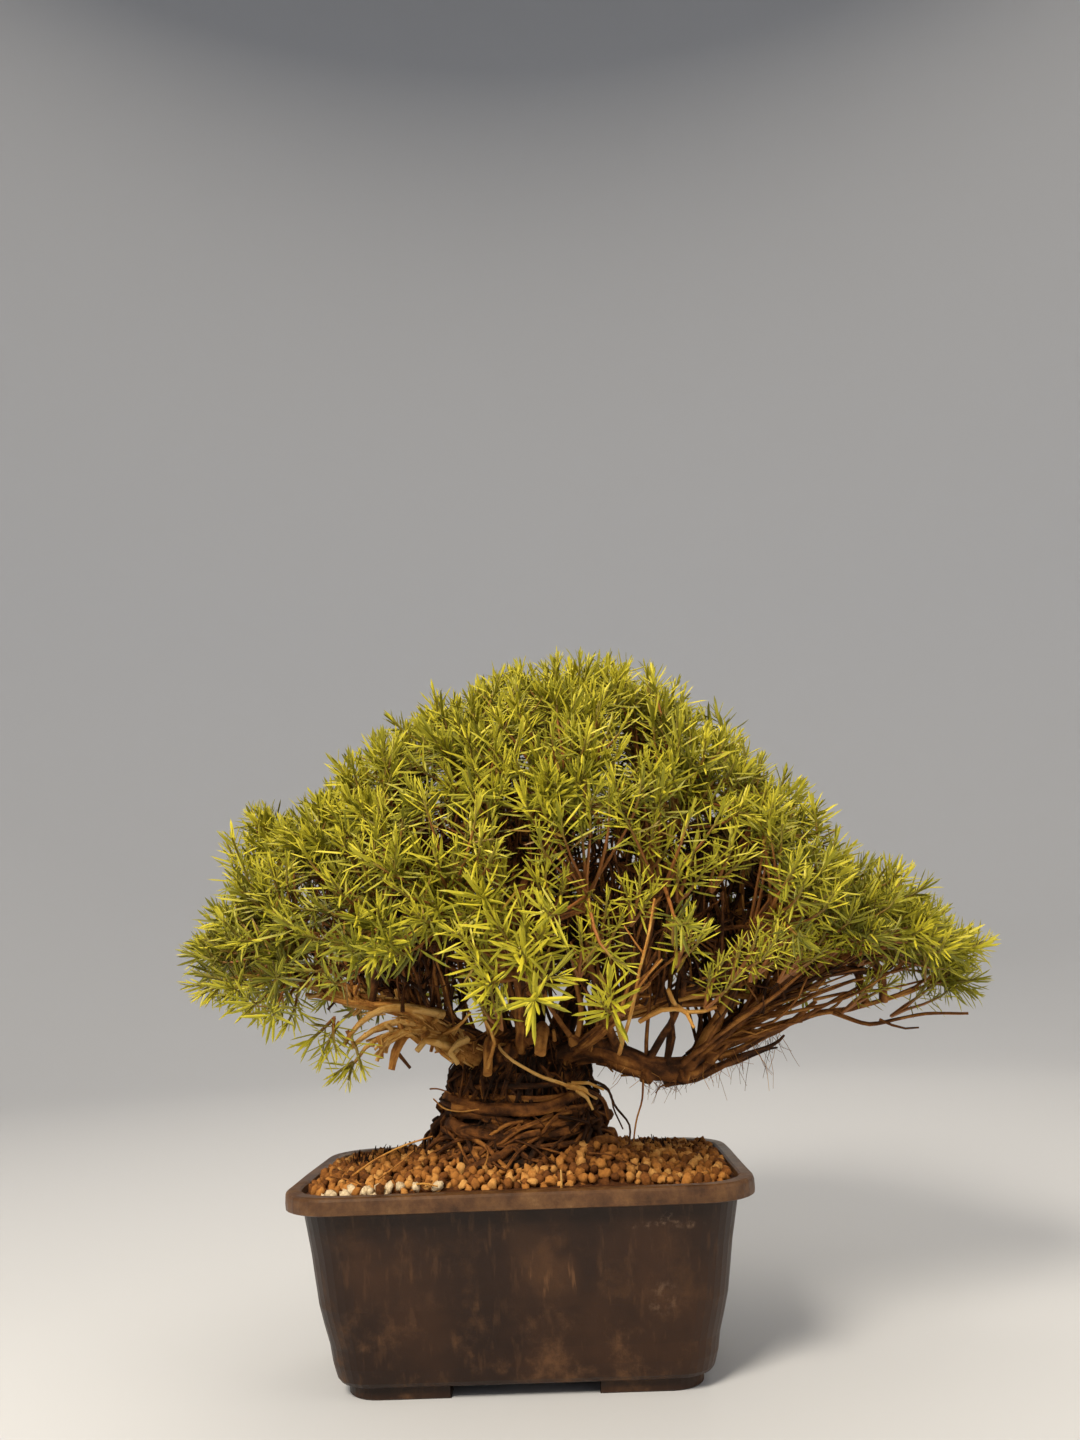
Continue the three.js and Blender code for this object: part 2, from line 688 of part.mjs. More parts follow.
function makeSpray({ base, direction, tips }, id) {
  const name = sprayName(id);
  const start = base.clone().addScaledVector(direction, GAP);
  const heart = base.clone().addScaledVector(direction, SPRAY.stem);
  const stem = branch([start, heart], [1.3, 1.6], 3, 1);
  const core = new THREE.OctahedronGeometry(SPRAY.core, 0);
  core.scale(SPRAY.coreSlim, SPRAY.coreSlim, 1);
  core.applyQuaternion(new THREE.Quaternion().setFromUnitVectors(new THREE.Vector3(0, 0, 1), direction));
  core.translate(heart.x, heart.y, heart.z);
  const parts = [stem, core];
  tips.forEach((tip, k) => {
    parts.push(needleShoot(`${name} ${k}.`, heart, tip, SPRAY.shoots * id + k));
  });
  const solid = Manifold.union(parts.map(solidOf));
  const colour = COLOURS.needles[id % COLOURS.needles.length];
  return meshOf(name, solid, material(colour, 0.6));
}

// Assembly

const sprays = planSprays();
const wood = makeWood(sprays);
sprays.forEach(placeShoots);
const bonsai = new THREE.Group();
bonsai.name = 'rosemary_bonsai';
bonsai.add(makePot(), makeSoil(), wood, ...sprays.map(makeSpray));

const bounds = new THREE.Box3().setFromObject(bonsai);
bonsai.position.set(-(bounds.min.x + bounds.max.x) / 2, -(bounds.min.y + bounds.max.y) / 2, -bounds.min.z);
bonsai.updateMatrixWorld(true);

export default bonsai;
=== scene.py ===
# %% [markdown]
# This is a rosemary grown as a small bonsai in a plastic training pot. Its solids come packed as
# a fixed frame, and each step below builds one finished piece round them: the pot, the clay
# granules, the wood and the leafy sprays. All measures are in millimetres from the middle of the
# pot's foot, with the front of the tree towards -Y, and turn into metres only when a mesh is made.

# %% Load the frame
import json
import math
import random
from math import cos, pi, sin, tau
from random import choice, uniform

import bmesh
import bpy
import numpy as np
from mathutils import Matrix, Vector, noise

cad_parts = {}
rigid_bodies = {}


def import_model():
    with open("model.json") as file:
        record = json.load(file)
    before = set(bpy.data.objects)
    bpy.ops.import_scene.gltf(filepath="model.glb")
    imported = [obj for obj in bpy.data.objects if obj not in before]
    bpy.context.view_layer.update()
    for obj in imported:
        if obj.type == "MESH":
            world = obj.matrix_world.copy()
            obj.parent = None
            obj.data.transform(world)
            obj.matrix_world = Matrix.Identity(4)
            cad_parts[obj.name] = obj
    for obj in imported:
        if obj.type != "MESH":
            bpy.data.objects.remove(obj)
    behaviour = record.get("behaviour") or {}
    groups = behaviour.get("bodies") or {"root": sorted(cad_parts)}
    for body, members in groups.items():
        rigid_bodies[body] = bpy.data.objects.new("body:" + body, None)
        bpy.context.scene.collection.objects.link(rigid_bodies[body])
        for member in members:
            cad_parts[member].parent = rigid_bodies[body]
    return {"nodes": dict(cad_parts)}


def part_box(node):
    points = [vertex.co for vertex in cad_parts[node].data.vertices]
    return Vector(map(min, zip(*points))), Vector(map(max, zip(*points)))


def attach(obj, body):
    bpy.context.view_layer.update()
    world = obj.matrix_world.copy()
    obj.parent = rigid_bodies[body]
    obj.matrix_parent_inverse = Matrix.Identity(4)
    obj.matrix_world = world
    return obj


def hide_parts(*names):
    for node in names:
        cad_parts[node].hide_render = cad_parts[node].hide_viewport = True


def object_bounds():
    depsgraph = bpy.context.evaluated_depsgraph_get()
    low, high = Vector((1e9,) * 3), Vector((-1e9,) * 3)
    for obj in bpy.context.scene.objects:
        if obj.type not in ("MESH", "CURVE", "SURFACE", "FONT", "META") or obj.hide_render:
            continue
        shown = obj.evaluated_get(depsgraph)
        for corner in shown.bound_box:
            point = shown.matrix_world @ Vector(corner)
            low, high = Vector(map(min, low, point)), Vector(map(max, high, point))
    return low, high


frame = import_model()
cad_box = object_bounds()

MM = 0.001
pot_low, pot_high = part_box("pot")
POT_FOOT = Vector(((pot_low.x + pot_high.x) / 2, (pot_low.y + pot_high.y) / 2, 0.0))


def to_frame(point):
    """A point in millimetres from the pot's foot, as a place in the frame."""
    return POT_FOOT + MM * Vector(point)


def new_object(name, data):
    """An object in the scene."""
    made = bpy.data.objects.new(name, data)
    bpy.context.scene.collection.objects.link(made)
    return made


print("nodes:", len(frame["nodes"]), "CAD box:", [list(corner) for corner in cad_box])

# %% [markdown]
# The picture is taken from close in front, a little below the crown and tipped up, with the
# wide lens of a phone. A camera is a place, a direction and a lens, so it is set from those
# three. The light is plain: one soft lamp high on the left, weaker ones beside and behind, and a
# wide lamp overhead. The floor is pale and rises far off into a round wall, as in a photographer's
# cove, so that no line runs behind the tree from any side.

# %% Camera, light and floor
CAMERA_PLACE = (22, -520, 165)
PITCH, YAW, ROLL = (math.radians(angle) for angle in (14.0, -0.7, -2.15))
LENS, LONG_SIDE = 26, 36

forward = Vector((sin(YAW) * cos(PITCH), cos(YAW) * cos(PITCH), sin(PITCH)))
level = Vector((cos(YAW), -sin(YAW), 0))
above = level.cross(forward)
right = level * cos(ROLL) + above * sin(ROLL)
upward = above * cos(ROLL) - level * sin(ROLL)

camera_data = bpy.data.cameras.new("camera")
camera_data.lens = LENS
camera_data.sensor_fit = "VERTICAL"
camera_data.sensor_height = LONG_SIDE
camera = new_object("camera", camera_data)
for column, axis in enumerate((right, upward, -forward, to_frame(CAMERA_PLACE))):
    for row in range(3):
        camera.matrix_world[row][column] = axis[row]
bpy.context.scene.camera = camera


# The lamps are a little warm, and the cove is a little blue, so that it still comes out grey.
LAMP_COLOUR = (1.0, 0.86, 0.66)


def soft_lamp(name, place, aim, size, power):
    """A square area lamp at one place, facing another."""
    data = bpy.data.lights.new(name, "AREA")
    data.shape = "SQUARE"
    data.size = size
    data.energy = power
    data.color = LAMP_COLOUR
    lamp = new_object(name, data)
    lamp.location = place
    lamp.rotation_euler = (Vector(aim) - Vector(place)).to_track_quat("-Z", "Y").to_euler()


soft_lamp("key lamp", (-0.5, -0.95, 1.0), (0, 0, 0.18), 0.4, 25)
soft_lamp("side lamp", (1.2, -0.6, 0.6), (0, 0, 0.15), 0.9, 4.5)
soft_lamp("back lamp", (0.3, 1.3, 1.2), (0, 0, 0.15), 1.0, 6)
soft_lamp("overhead lamp", (0, 0, 3.6), (0, 0.01, 0), 3.2, 46)
bpy.context.scene.view_settings.view_transform = "Standard"

world = bpy.data.worlds.new("surrounding")
world.use_nodes = True
world.node_tree.nodes["Background"].inputs["Color"].default_value = (0.86, 0.8, 0.72, 1)
world.node_tree.nodes["Background"].inputs["Strength"].default_value = 0.2
bpy.context.scene.world = world

# The cove in metres: where the floor starts to rise, the radius of the rise and the wall's height.
COVE_FLAT, COVE_BEND, COVE_HEIGHT, COVE_SIDES = 1.5, 1.3, 4.2, 128
cove_profile = [(0.02, 0), (COVE_FLAT, 0)]
for i in range(1, 13):
    turn = pi / 2 * i / 12
    cove_profile.append((COVE_FLAT + COVE_BEND * sin(turn), COVE_BEND * (1 - cos(turn))))
cove_profile.append((COVE_FLAT + COVE_BEND, COVE_HEIGHT))
cove_points = [(radius * cos(tau * i / COVE_SIDES), radius * sin(tau * i / COVE_SIDES), z)
               for radius, z in cove_profile for i in range(COVE_SIDES)]
cove_faces = [(k * COVE_SIDES + i, k * COVE_SIDES + (i + 1) % COVE_SIDES,
               (k + 1) * COVE_SIDES + (i + 1) % COVE_SIDES, (k + 1) * COVE_SIDES + i)
              for k in range(len(cove_profile) - 1) for i in range(COVE_SIDES)]
cove_faces.append(tuple(reversed(range(COVE_SIDES))))
floor_mesh = bpy.data.meshes.new("floor")
floor_mesh.from_pydata(cove_points, [], cove_faces)
floor_mesh.polygons.foreach_set("use_smooth", [True] * len(cove_faces))
floor = new_object("floor", floor_mesh)
print("camera at", [round(v, 3) for v in camera.matrix_world.translation])

# %% [markdown]
# Materials and Geometry Nodes are both trees of nodes, so one small pair of classes writes both.
# A Link wraps one socket and turns a sum in Python into Math nodes, which reads like the formula
# that it is. Colours go through Mix nodes, because a Math node would turn them grey.

# %% Node trees written as formulas


class Link:
    """One output socket. Sums written with it become Math nodes of its tree."""

    def __init__(self, tree, socket):
        self.tree = tree
        self.socket = socket

    def also(self, output):
        """Another output of the same node."""
        return Link(self.tree, self.socket.node.outputs[output])

    def maths(self, operation, *values):
        return self.tree.put("ShaderNodeMath", dict(enumerate(values)), operation=operation)

    def __add__(self, other):
        return self.maths("ADD", self, other)

    def __sub__(self, other):
        return self.maths("SUBTRACT", self, other)

    def __mul__(self, other):
        return self.maths("MULTIPLY", self, other)

    def __truediv__(self, other):
        return self.maths("DIVIDE", self, other)

    def __lt__(self, other):
        return self.maths("LESS_THAN", self, other)

    def __gt__(self, other):
        return self.maths("GREATER_THAN", self, other)

    __radd__ = __add__
    __rmul__ = __mul__

    def held(self):
        """The value kept between 0 and 1."""
        return self.tree.put("ShaderNodeClamp", {0: self})

    def step(self, low, high):
        """A smooth rise from 0 at low to 1 at high."""
        sockets = {"Value": self, "From Min": low, "From Max": high}
        return self.tree.put("ShaderNodeMapRange", sockets, interpolation_type="SMOOTHSTEP")


class NodeTree:
    """A node tree that is filled one node at a time."""

    def __init__(self, tree):
        self.tree = tree

    def put(self, kind, sockets=None, output=0, **settings):
        """A new node with its sockets filled: an output of it, as a Link."""
        made = self.tree.nodes.new(kind)
        for key, value in settings.items():
            if key == "stops":
                while len(made.color_ramp.elements) < len(value):
                    made.color_ramp.elements.new(0.5)
                for element, (position, colour) in zip(made.color_ramp.elements, value):
                    element.position = position
                    element.color = (*colour, 1)
            else:
                setattr(made, key, value)
        for key, value in (sockets or {}).items():
            if isinstance(value, Link):
                self.tree.links.new(value.socket, made.inputs[key])
            else:
                made.inputs[key].default_value = value
        return Link(self, made.outputs[output])

    def vectors(self, operation, first, second):
        return self.put("ShaderNodeVectorMath", {0: first, 1: second}, operation=operation)


class Finish(NodeTree):
    """A material round one Principled shader."""

    def __init__(self, name, **constants):
        self.material = bpy.data.materials.new(name)
        self.material.use_nodes = True
        super().__init__(self.material.node_tree)
        self.shader = self.tree.nodes["Principled BSDF"]
        sockets = {socket.name.lower(): socket for socket in self.shader.inputs}
        for key, value in constants.items():
            sockets[key.replace("_", " ")].default_value = value

    def place(self):
        return self.put("ShaderNodeTexCoord", output="Object")

    def painted(self, name):
        """A number that the mesh carries on its points."""
        return self.put("ShaderNodeAttribute", output="Fac", attribute_name=name)

    def mottle(self, scale, detail=3, vector=None, roughness=0.55):
        sockets = {"Scale": scale, "Detail": detail, "Roughness": roughness, "Vector": vector or self.place()}
        return self.put("ShaderNodeTexNoise", sockets)

    def ramp(self, value, stops):
        return self.put("ShaderNodeValToRGB", {0: value}, stops=stops)

    def blend(self, amount, first, second):
        """One colour giving way to another."""
        colours = [c if isinstance(c, Link) else (*c, 1) for c in (first, second)]
        sockets = {"Factor": amount, 6: colours[0], 7: colours[1]}
        return self.put("ShaderNodeMix", sockets, output=2, data_type="RGBA")

    def feed(self, socket, value):
        self.tree.links.new(value.socket, self.shader.inputs[socket])

    def bump(self, height, strength, distance):
        sockets = {"Height": height, "Strength": strength, "Distance": distance}
        self.feed("Normal", self.put("ShaderNodeBump", sockets))


floor_finish = Finish("pale floor", base_color=(0.57, 0.61, 0.69, 1), roughness=0.9)
floor_mesh.materials.append(floor_finish.material)

# %% [markdown]
# Geometry Nodes do the work that repeats: needles on a shoot, bark on a limb, granules on the
# mound. A Recipe is such a tree with named inputs. To use it, a plain object gets it as a
# modifier, the inputs are set, and the evaluated result becomes an ordinary mesh.

# %% Recipes for Geometry Nodes
SOCKETS = {int: "NodeSocketInt", float: "NodeSocketFloat"}


class Recipe(NodeTree):
    """A Geometry Nodes tree with named inputs."""

    def __init__(self, name, **inputs):
        super().__init__(bpy.data.node_groups.new(name, "GeometryNodeTree"))
        make = self.tree.interface.new_socket
        make(name="Geometry", in_out="INPUT", socket_type="NodeSocketGeometry")
        make(name="Geometry", in_out="OUTPUT", socket_type="NodeSocketGeometry")
        self.identifiers = {}
        self.defaults = inputs
        for key, value in inputs.items():
            item = make(name=key.replace("_", " "), in_out="INPUT", socket_type=SOCKETS[type(value)])
            self.identifiers[key] = item.identifier
        self.entry = self.tree.nodes.new("NodeGroupInput")
        self.source = Link(self, self.entry.outputs["Geometry"])

    def __getitem__(self, key):
        """An input of the recipe by its name."""
        return Link(self, self.entry.outputs[key.replace("_", " ")])

    def painted(self, name):
        return self.put("GeometryNodeInputNamedAttribute", {"Name": name}, data_type="FLOAT")

    def paint(self, geometry, name, value, domain="POINT"):
        sockets = {"Geometry": geometry, "Name": name, "Value": value}
        return self.put("GeometryNodeStoreNamedAttribute", sockets, data_type="FLOAT", domain=domain)

    def draw(self, low, high, seed):
        """A random number for each element, the same in each run."""
        limits = {2: low, 3: high, "Seed": seed}
        return self.put("FunctionNodeRandomValue", limits, output=1, data_type="FLOAT")

    def vector(self, x, y, z):
        return self.put("ShaderNodeCombineXYZ", {0: x, 1: y, 2: z})

    def join(self, *parts):
        joined = self.put("GeometryNodeJoinGeometry")
        for part in parts:
            self.tree.links.new(part.socket, joined.socket.node.inputs[0])
        return joined

    def resampled(self, curve, step):
        return self.put("GeometryNodeResampleCurve", {"Curve": curve, "Length": step}, mode="LENGTH")

    def hoop(self, sides):
        return self.put("GeometryNodeCurvePrimitiveCircle", {"Resolution": sides, "Radius": 1.0})

    def tube(self, curve, hoop):
        """A closed tube along a curve, as thick as the girth painted on it."""
        sockets = {"Curve": curve, "Profile Curve": hoop, "Scale": self.painted("girth"), "Fill Caps": True}
        return self.put("GeometryNodeCurveToMesh", sockets)

    def lay(self, points, collection, seed, **sockets):
        """Small parts laid on points, each picked from a collection by chance."""
        picks = {4: 0, 5: len(collection.objects) - 1, "Seed": seed}
        which = self.put("FunctionNodeRandomValue", picks, output=2, data_type="INT")
        parts = self.put("GeometryNodeCollectionInfo", {
            "Collection": collection, "Separate Children": True, "Reset Children": True})
        return self.put("GeometryNodeInstanceOnPoints", {
            "Points": points, "Instance": parts, "Pick Instance": True, "Instance Index": which, **sockets})

    def end(self, geometry, material):
        whole = self.put("GeometryNodeRealizeInstances", {0: geometry})
        whole = self.put("GeometryNodeSetMaterial", {"Geometry": whole, "Material": material})
        leave = self.tree.nodes.new("NodeGroupOutput")
        self.tree.links.new(whole.socket, leave.inputs[0])

    def apply(self, piece, **values):
        """Runs the recipe on a piece and keeps its result as the piece's own mesh."""
        modifier = piece.modifiers.new(self.tree.name, "NODES")
        modifier.node_group = self.tree
        for key, default in self.defaults.items():
            modifier[self.identifiers[key]] = type(default)(values.get(key, default))
        depsgraph = bpy.context.evaluated_depsgraph_get()
        mesh = bpy.data.meshes.new_from_object(piece.evaluated_get(depsgraph), depsgraph=depsgraph)
        piece.modifiers.clear()
        piece.data = mesh
        mesh.name = piece.name
        return piece


def new_piece(name, points, edges=(), faces=(), **painted):
    """An object from points in millimetres, with numbers painted on its points."""
    mesh = bpy.data.meshes.new(name)
    mesh.from_pydata([to_frame(point) for point in points], edges, faces)
    for key, values in painted.items():
        layer = mesh.attributes.new(key, "FLOAT", "POINT")
        layer.data.foreach_set("value", list(values))
    return new_object(name, mesh)


def triangles(piece):
    return sum(len(polygon.vertices) - 2 for polygon in piece.data.polygons)


def keep_inside(piece):
    """Holds every point inside the solids' own box, so that the size stays true."""
    count = len(piece.data.vertices)
    flat = np.empty(3 * count)
    piece.data.vertices.foreach_get("co", flat)
    margin = 0.2 * MM
    low, high = (np.array(corner) + margin * sign for corner, sign in zip(cad_box, (1, -1)))
    held = np.clip(flat.reshape(-1, 3), low, high)
    moved = int((np.abs(held - flat.reshape(-1, 3)).max(axis=1) > 0).sum())
    piece.data.vertices.foreach_set("co", held.ravel())
    piece.data.update()
    return moved


def finished(piece, slot, *nodes):
    """Attaches a piece to the root body and hides the solids that it stands for. The slot, where its finish
    comes from, is not used.
    """
    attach(piece, "root")
    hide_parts(*nodes)


print("helpers ready")

# %% [markdown]
# Limbs, twigs and roots are all routes through a few points. A smooth curve through points is
# worked out in Python, because the same routes decide where the sprays begin. Each is then a
# chain of edges that carries its thickness and how pale its bark is.

# %% Routes
# The noise module starts from the clock, so it gets a fixed start here.
noise.seed_set(5)


def draw(piece, purpose):
    """Repeatable draw between 0 and 1, for one piece and one purpose."""
    wave = sin(piece * 12.9898 + purpose * 78.233) * 43758.5453
    return wave - math.floor(wave)


def lerp(a, b, t):
    return a + (b - a) * t


def clamp(value, low, high):
    return min(max(value, low), high)


def between(x, stations, column=1):
    """A value between stations, which are rows that start with x."""
    return float(np.interp(x, [row[0] for row in stations], [row[column] for row in stations]))


def stray(size):
    """A vector by chance, each part within the size."""
    return Vector([uniform(-size, size) for _ in range(3)])


class Route:
    """A smooth route through points, measured along its length."""

    STEPS = 8

    def __init__(self, points):
        points = [Vector(point) for point in points]
        ends = [2 * points[0] - points[1], *points, 2 * points[-1] - points[-2]]
        self.points = [points[0]]
        for a, b, c, d in zip(ends, ends[1:], ends[2:], ends[3:]):
            for i in range(1, self.STEPS + 1):
                t = i / self.STEPS
                self.points.append(0.5 * (2 * b + (c - a) * t + (2 * a - 5 * b + 4 * c - d) * t ** 2
                                          + (3 * b - a - 3 * c + d) * t ** 3))
        self.runs = [0.0]
        for a, b in zip(self.points, self.points[1:]):
            self.runs.append(self.runs[-1] + (b - a).length)
        self.length = self.runs[-1]

    def at(self, t):
        run = clamp(t, 0.0, 1.0) * self.length
        i = min(int(np.searchsorted(self.runs, run, side="right")), len(self.points) - 1)
        share = (run - self.runs[i - 1]) / max(self.runs[i] - self.runs[i - 1], 1e-9)
        return self.points[i - 1].lerp(self.points[i], min(share, 1.0))

    def tangent(self, t):
        return (self.at(t + 0.02) - self.at(t - 0.02)).normalized()


class Bundle:
    """Many routes gathered as chains of edges for one piece."""

    def __init__(self):
        self.points = []
        self.edges = []
        self.painted = {}
        self.chains = 0

    def add(self, points, **painted):
        first = len(self.points)
        self.points.extend(points)
        self.edges.extend((first + i, first + i + 1) for i in range(len(points) - 1))
        painted["chain"] = self.chains
        self.chains += 1
        for key, value in painted.items():
            values = value if isinstance(value, list) else [value] * len(points)
            self.painted.setdefault(key, []).extend(float(v) for v in values)

    def add_route(self, route, girth, tone, wobble=0.0, step=4.0):
        """A route with its thickness and tone at both ends, a little uneven on the way."""
        route = route if isinstance(route, Route) else Route(route)
        tone = tone if isinstance(tone, tuple) else (tone, tone)
        count = max(3, round(route.length / step))
        points = []
        for i in range(count + 1):
            point = route.at(i / count)
            sway = noise.noise_vector(point * 0.09 + Vector((self.chains, 0, 0)))
            points.append(point + sway * wobble * min(1.0, 4 * i / count))
        self.add(
            points,
            girth=[MM * lerp(girth[0], girth[1], i / count) for i in range(count + 1)],
            tone=[lerp(tone[0], tone[1], i / count) for i in range(count + 1)],
        )

    def add_table(self, rows, wobble, step):
        """Routes from rows of points, thickness at both ends and tone."""
        for points, thick, tone in rows:
            self.add_route(points, thick, tone, wobble, step)

    def piece(self, name):
        return new_piece(name, self.points, self.edges, **self.painted)


print("routes ready")

# %% [markdown]
# The skeleton is the one that the solids follow: limbs that leave a short trunk, and a crown
# whose surface is known for each place along it and each angle from the front edge over the top.
# Arches of sprays stand on that surface, and each spray's twig starts at the limb that carries it
# best. The same draws are made here, so each finished spray grows where its solid is.

# %% The skeleton of the tree
# Stations of the crown: x, the height of its top and of its lower edge, and its half depth.
CROWN = [
    (-151, 190, 168, 26), (-126, 236, 152, 66), (-98, 262, 142, 92), (-60, 289, 140, 112),
    (-20, 307, 152, 124), (25, 316, 158, 128), (70, 311, 154, 124), (110, 284, 146, 110),
    (150, 236, 147, 86), (188, 202, 151, 54), (218, 180, 158, 20),
]
# Arches of sprays: x and count.
ARCHES = [(-148, 2), (-109, 4), (-68, 5), (-22, 6), (28, 7), (76, 6), (122, 5), (166, 4), (199, 2)]
ARCH_STEP, REACH, STEM, CROWN_ROUNDNESS = 46, 38, 11, 0.8
# Limbs: thickness at both ends, tone of the bark at both ends, route.
LIMBS = {
    "rightLow": ((8.5, 2), (0.42, 0.42), [
        (10, -4, 128), (34, -16, 134), (58, -26, 125), (72, -24, 122), (85, -18, 129),
        (100, -12, 139), (118, -8, 151), (144, -6, 167), (165, -4, 180)]),
    "rightCross": ((3.6, 3), (0.62, 0.5), [
        (34, -8, 140), (57, -28, 152), (80, -24, 155), (100, -16, 155), (120, -8, 152)]),
    "rightFar": ((2.0, 0.9), (0.45, 0.55), [
        (88, -17, 130), (117, -8, 138), (136, -2, 143), (152, 2, 145), (176, 6, 149), (195, 7, 155)]),
    "rightBack": ((2.8, 1.6), (0.4, 0.4), [
        (98, -13, 137), (118, 12, 146), (140, 32, 156), (160, 40, 166)]),
    "bareFork": ((1.1, 0.6), (0.4, 0.5), [
        (150, 2, 145), (166, -6, 139), (187, -14, 143), (206, -24, 143)]),
    "leftTop": ((6.5, 2), (0.76, 0.8), [
        (-6, -4, 126), (-27, -16, 135), (-38, -24, 145), (-50, -30, 154), (-66, -34, 157),
        (-88, -36, 164), (-114, -30, 176)]),
    "leftLow": ((3.4, 1.4), (0.92, 0.95), [
        (-30, -18, 138), (-46, -31, 144), (-58, -38, 143), (-66, -42, 139), (-71, -45, 133)]),
    "leftStub": ((2.6, 1.5), (0.88, 0.6), [
        (-42, -27, 147), (-50, -32, 143), (-54, -36, 137), (-56, -38, 129)]),
    "leftBack": ((5.5, 2), (0.5, 0.45), [
        (-6, 8, 128), (-34, 26, 145), (-64, 40, 158), (-94, 42, 174)]),
    "leaderLeft": ((7, 2), (0.4, 0.4), [
        (-4, -2, 126), (-14, -10, 160), (-28, -14, 192), (-40, -16, 222), (-46, -16, 246)]),
    "leaderMiddle": ((8, 2), (0.4, 0.4), [
        (4, 4, 126), (8, 8, 168), (4, 4, 205), (12, 6, 240), (16, 4, 266)]),
    "leaderRight": ((7, 2), (0.4, 0.4), [
        (14, 0, 126), (30, 4, 162), (52, 0, 194), (72, -2, 222), (82, -2, 244)]),
    "front": ((5, 1.8), (0.45, 0.4), [
        (0, -10, 128), (4, -38, 156), (2, -62, 180), (-2, -82, 198)]),
    "frontRight": ((4, 1.6), (0.5, 0.6), [
        (24, -12, 132), (42, -36, 144), (52, -56, 156), (58, -74, 162)]),
    "back": ((5.5, 2), (0.4, 0.4), [
        (2, 16, 126), (0, 42, 156), (0, 66, 184), (2, 82, 208)]),
    "backRight": ((5, 2), (0.4, 0.4), [
        (18, 10, 128), (50, 34, 150), (80, 50, 168), (108, 56, 186)]),
    "pegStub": ((2.3, 2.0), (0.5, 0.72), [(-8, -8, 137), (-13, -28, 138), (-13, -38, 125)]),
    "paleStub": ((2.8, 2.6), (0.42, 0.72), [(6, -8, 138), (12, -30, 144), (11, -42, 134)]),
    "paleRoot": ((0.6, 0.8), (1.0, 0.85), [
        (-4, -8, 136), (-8, -30, 136), (4, -38, 127), (20, -36, 120), (34, -28, 114)]),
}
# Sprays at the ends of limbs: limb, tip, how far its shoots spread and how many they are.
END_SPRAYS = [
    ("leftLow", (-83, -50, 108), 12, 0), ("rightFar", (221, 4, 160), 13, 10),
    ("front", (-16, -116, 180), 20, 4), ("frontRight", (60, -114, 156), 17, 0),
]
LIMB_ROUTES = {name: Route(points) for name, (girth, tone, points) in LIMBS.items()}


def crown_point(x, angle):
    """Where the crown's surface lies: along x, and by angle from the front edge over the top."""
    x = clamp(x, CROWN[0][0], CROWN[-1][0])
    top, low, half = (between(x, CROWN, column) for column in (1, 2, 3))
    rise = sin(clamp(angle, 0.02, pi - 0.02)) ** CROWN_ROUNDNESS
    return Vector((x, -half * cos(angle), lerp(low, top, rise)))


def plan_sprays():
    """Every spray: where its twig ends, its direction and its patch of the crown."""
    plans = []
    for arch, (x, count) in enumerate(ARCHES):
        width = pi / count
        for i in range(count):
            angle = width * (i + 0.5)
            stagger = (4 if arch % 2 else -4) * (1 if i % 2 else -1)
            centre = crown_point(x + 10 * (draw(len(plans), 11) - 0.5) + stagger, angle)
            inward = Vector((0.66 * centre.x + 6, 0.12 * centre.y, min(178, centre.z - 14))) - centre
            base = centre + inward.normalized() * min(REACH, 0.5 * inward.length)
            plans.append({"centre": centre, "base": base, "angle": angle, "width": width,
                          "direction": (centre - base).normalized(), "limb": None})
    for limb, tip, spread, count in END_SPRAYS:
        route = LIMB_ROUTES[limb]
        plans.append({"centre": Vector(tip), "base": route.at(1), "direction": route.tangent(1),
                      "limb": limb, "spread": spread, "count": count})
    return plans


sprays = plan_sprays()
places_on_limbs = []
for limb_name, (girth, tone, points) in LIMBS.items():
    if len(points) > 3:
        for k in range(8):
            t = 0.25 + k / 12
            places_on_limbs.append({"point": LIMB_ROUTES[limb_name].at(t), "twigs": 0,
                                    "girth": lerp(girth[0], girth[1], t)})


def twig_route(spray):
    """The route of the twig that carries a spray, from the best placed point of a limb."""
    base = spray["base"]

    def cost(place):
        drop = max(0.0, 1.2 * (place["point"].z - base.z))
        return (place["point"] - base).length + drop + 30 * (place["girth"] > 6) + 16 * place["twigs"]

    best = min(places_on_limbs, key=cost)
    best["twigs"] += 1
    span = (best["point"] - base).length
    bow = best["point"].lerp(base, 0.45) + Vector((0, 0, 0.06 * span))
    return Route([best["point"], bow, base - spray["direction"] * min(9, 0.3 * span), base])


for spray in sprays:
    spray["twig"] = None if spray["limb"] else twig_route(spray)
print("sprays:", len(sprays), "limbs:", len(LIMBS))

# %% [markdown]
# The pot is a thin moulded shell of dark plastic with a hooked lip, on four corner feet. It is
# one closed loop of a profile swept round a rounded rectangle, so rings of points are joined
# ring by ring. The plain Boolean modifier then cuts the drainage holes. Real pots of this kind
# are never quite straight, so the walls bow by a fraction of a millimetre.

# %% Pot
# Half the length and half the depth of the lip's outline, and the radius of its corners.
POT_LENGTH, POT_DEPTH, POT_CORNER = 100, 66, 24
CORNER_STEPS, SIDE_STEPS = 8, 10
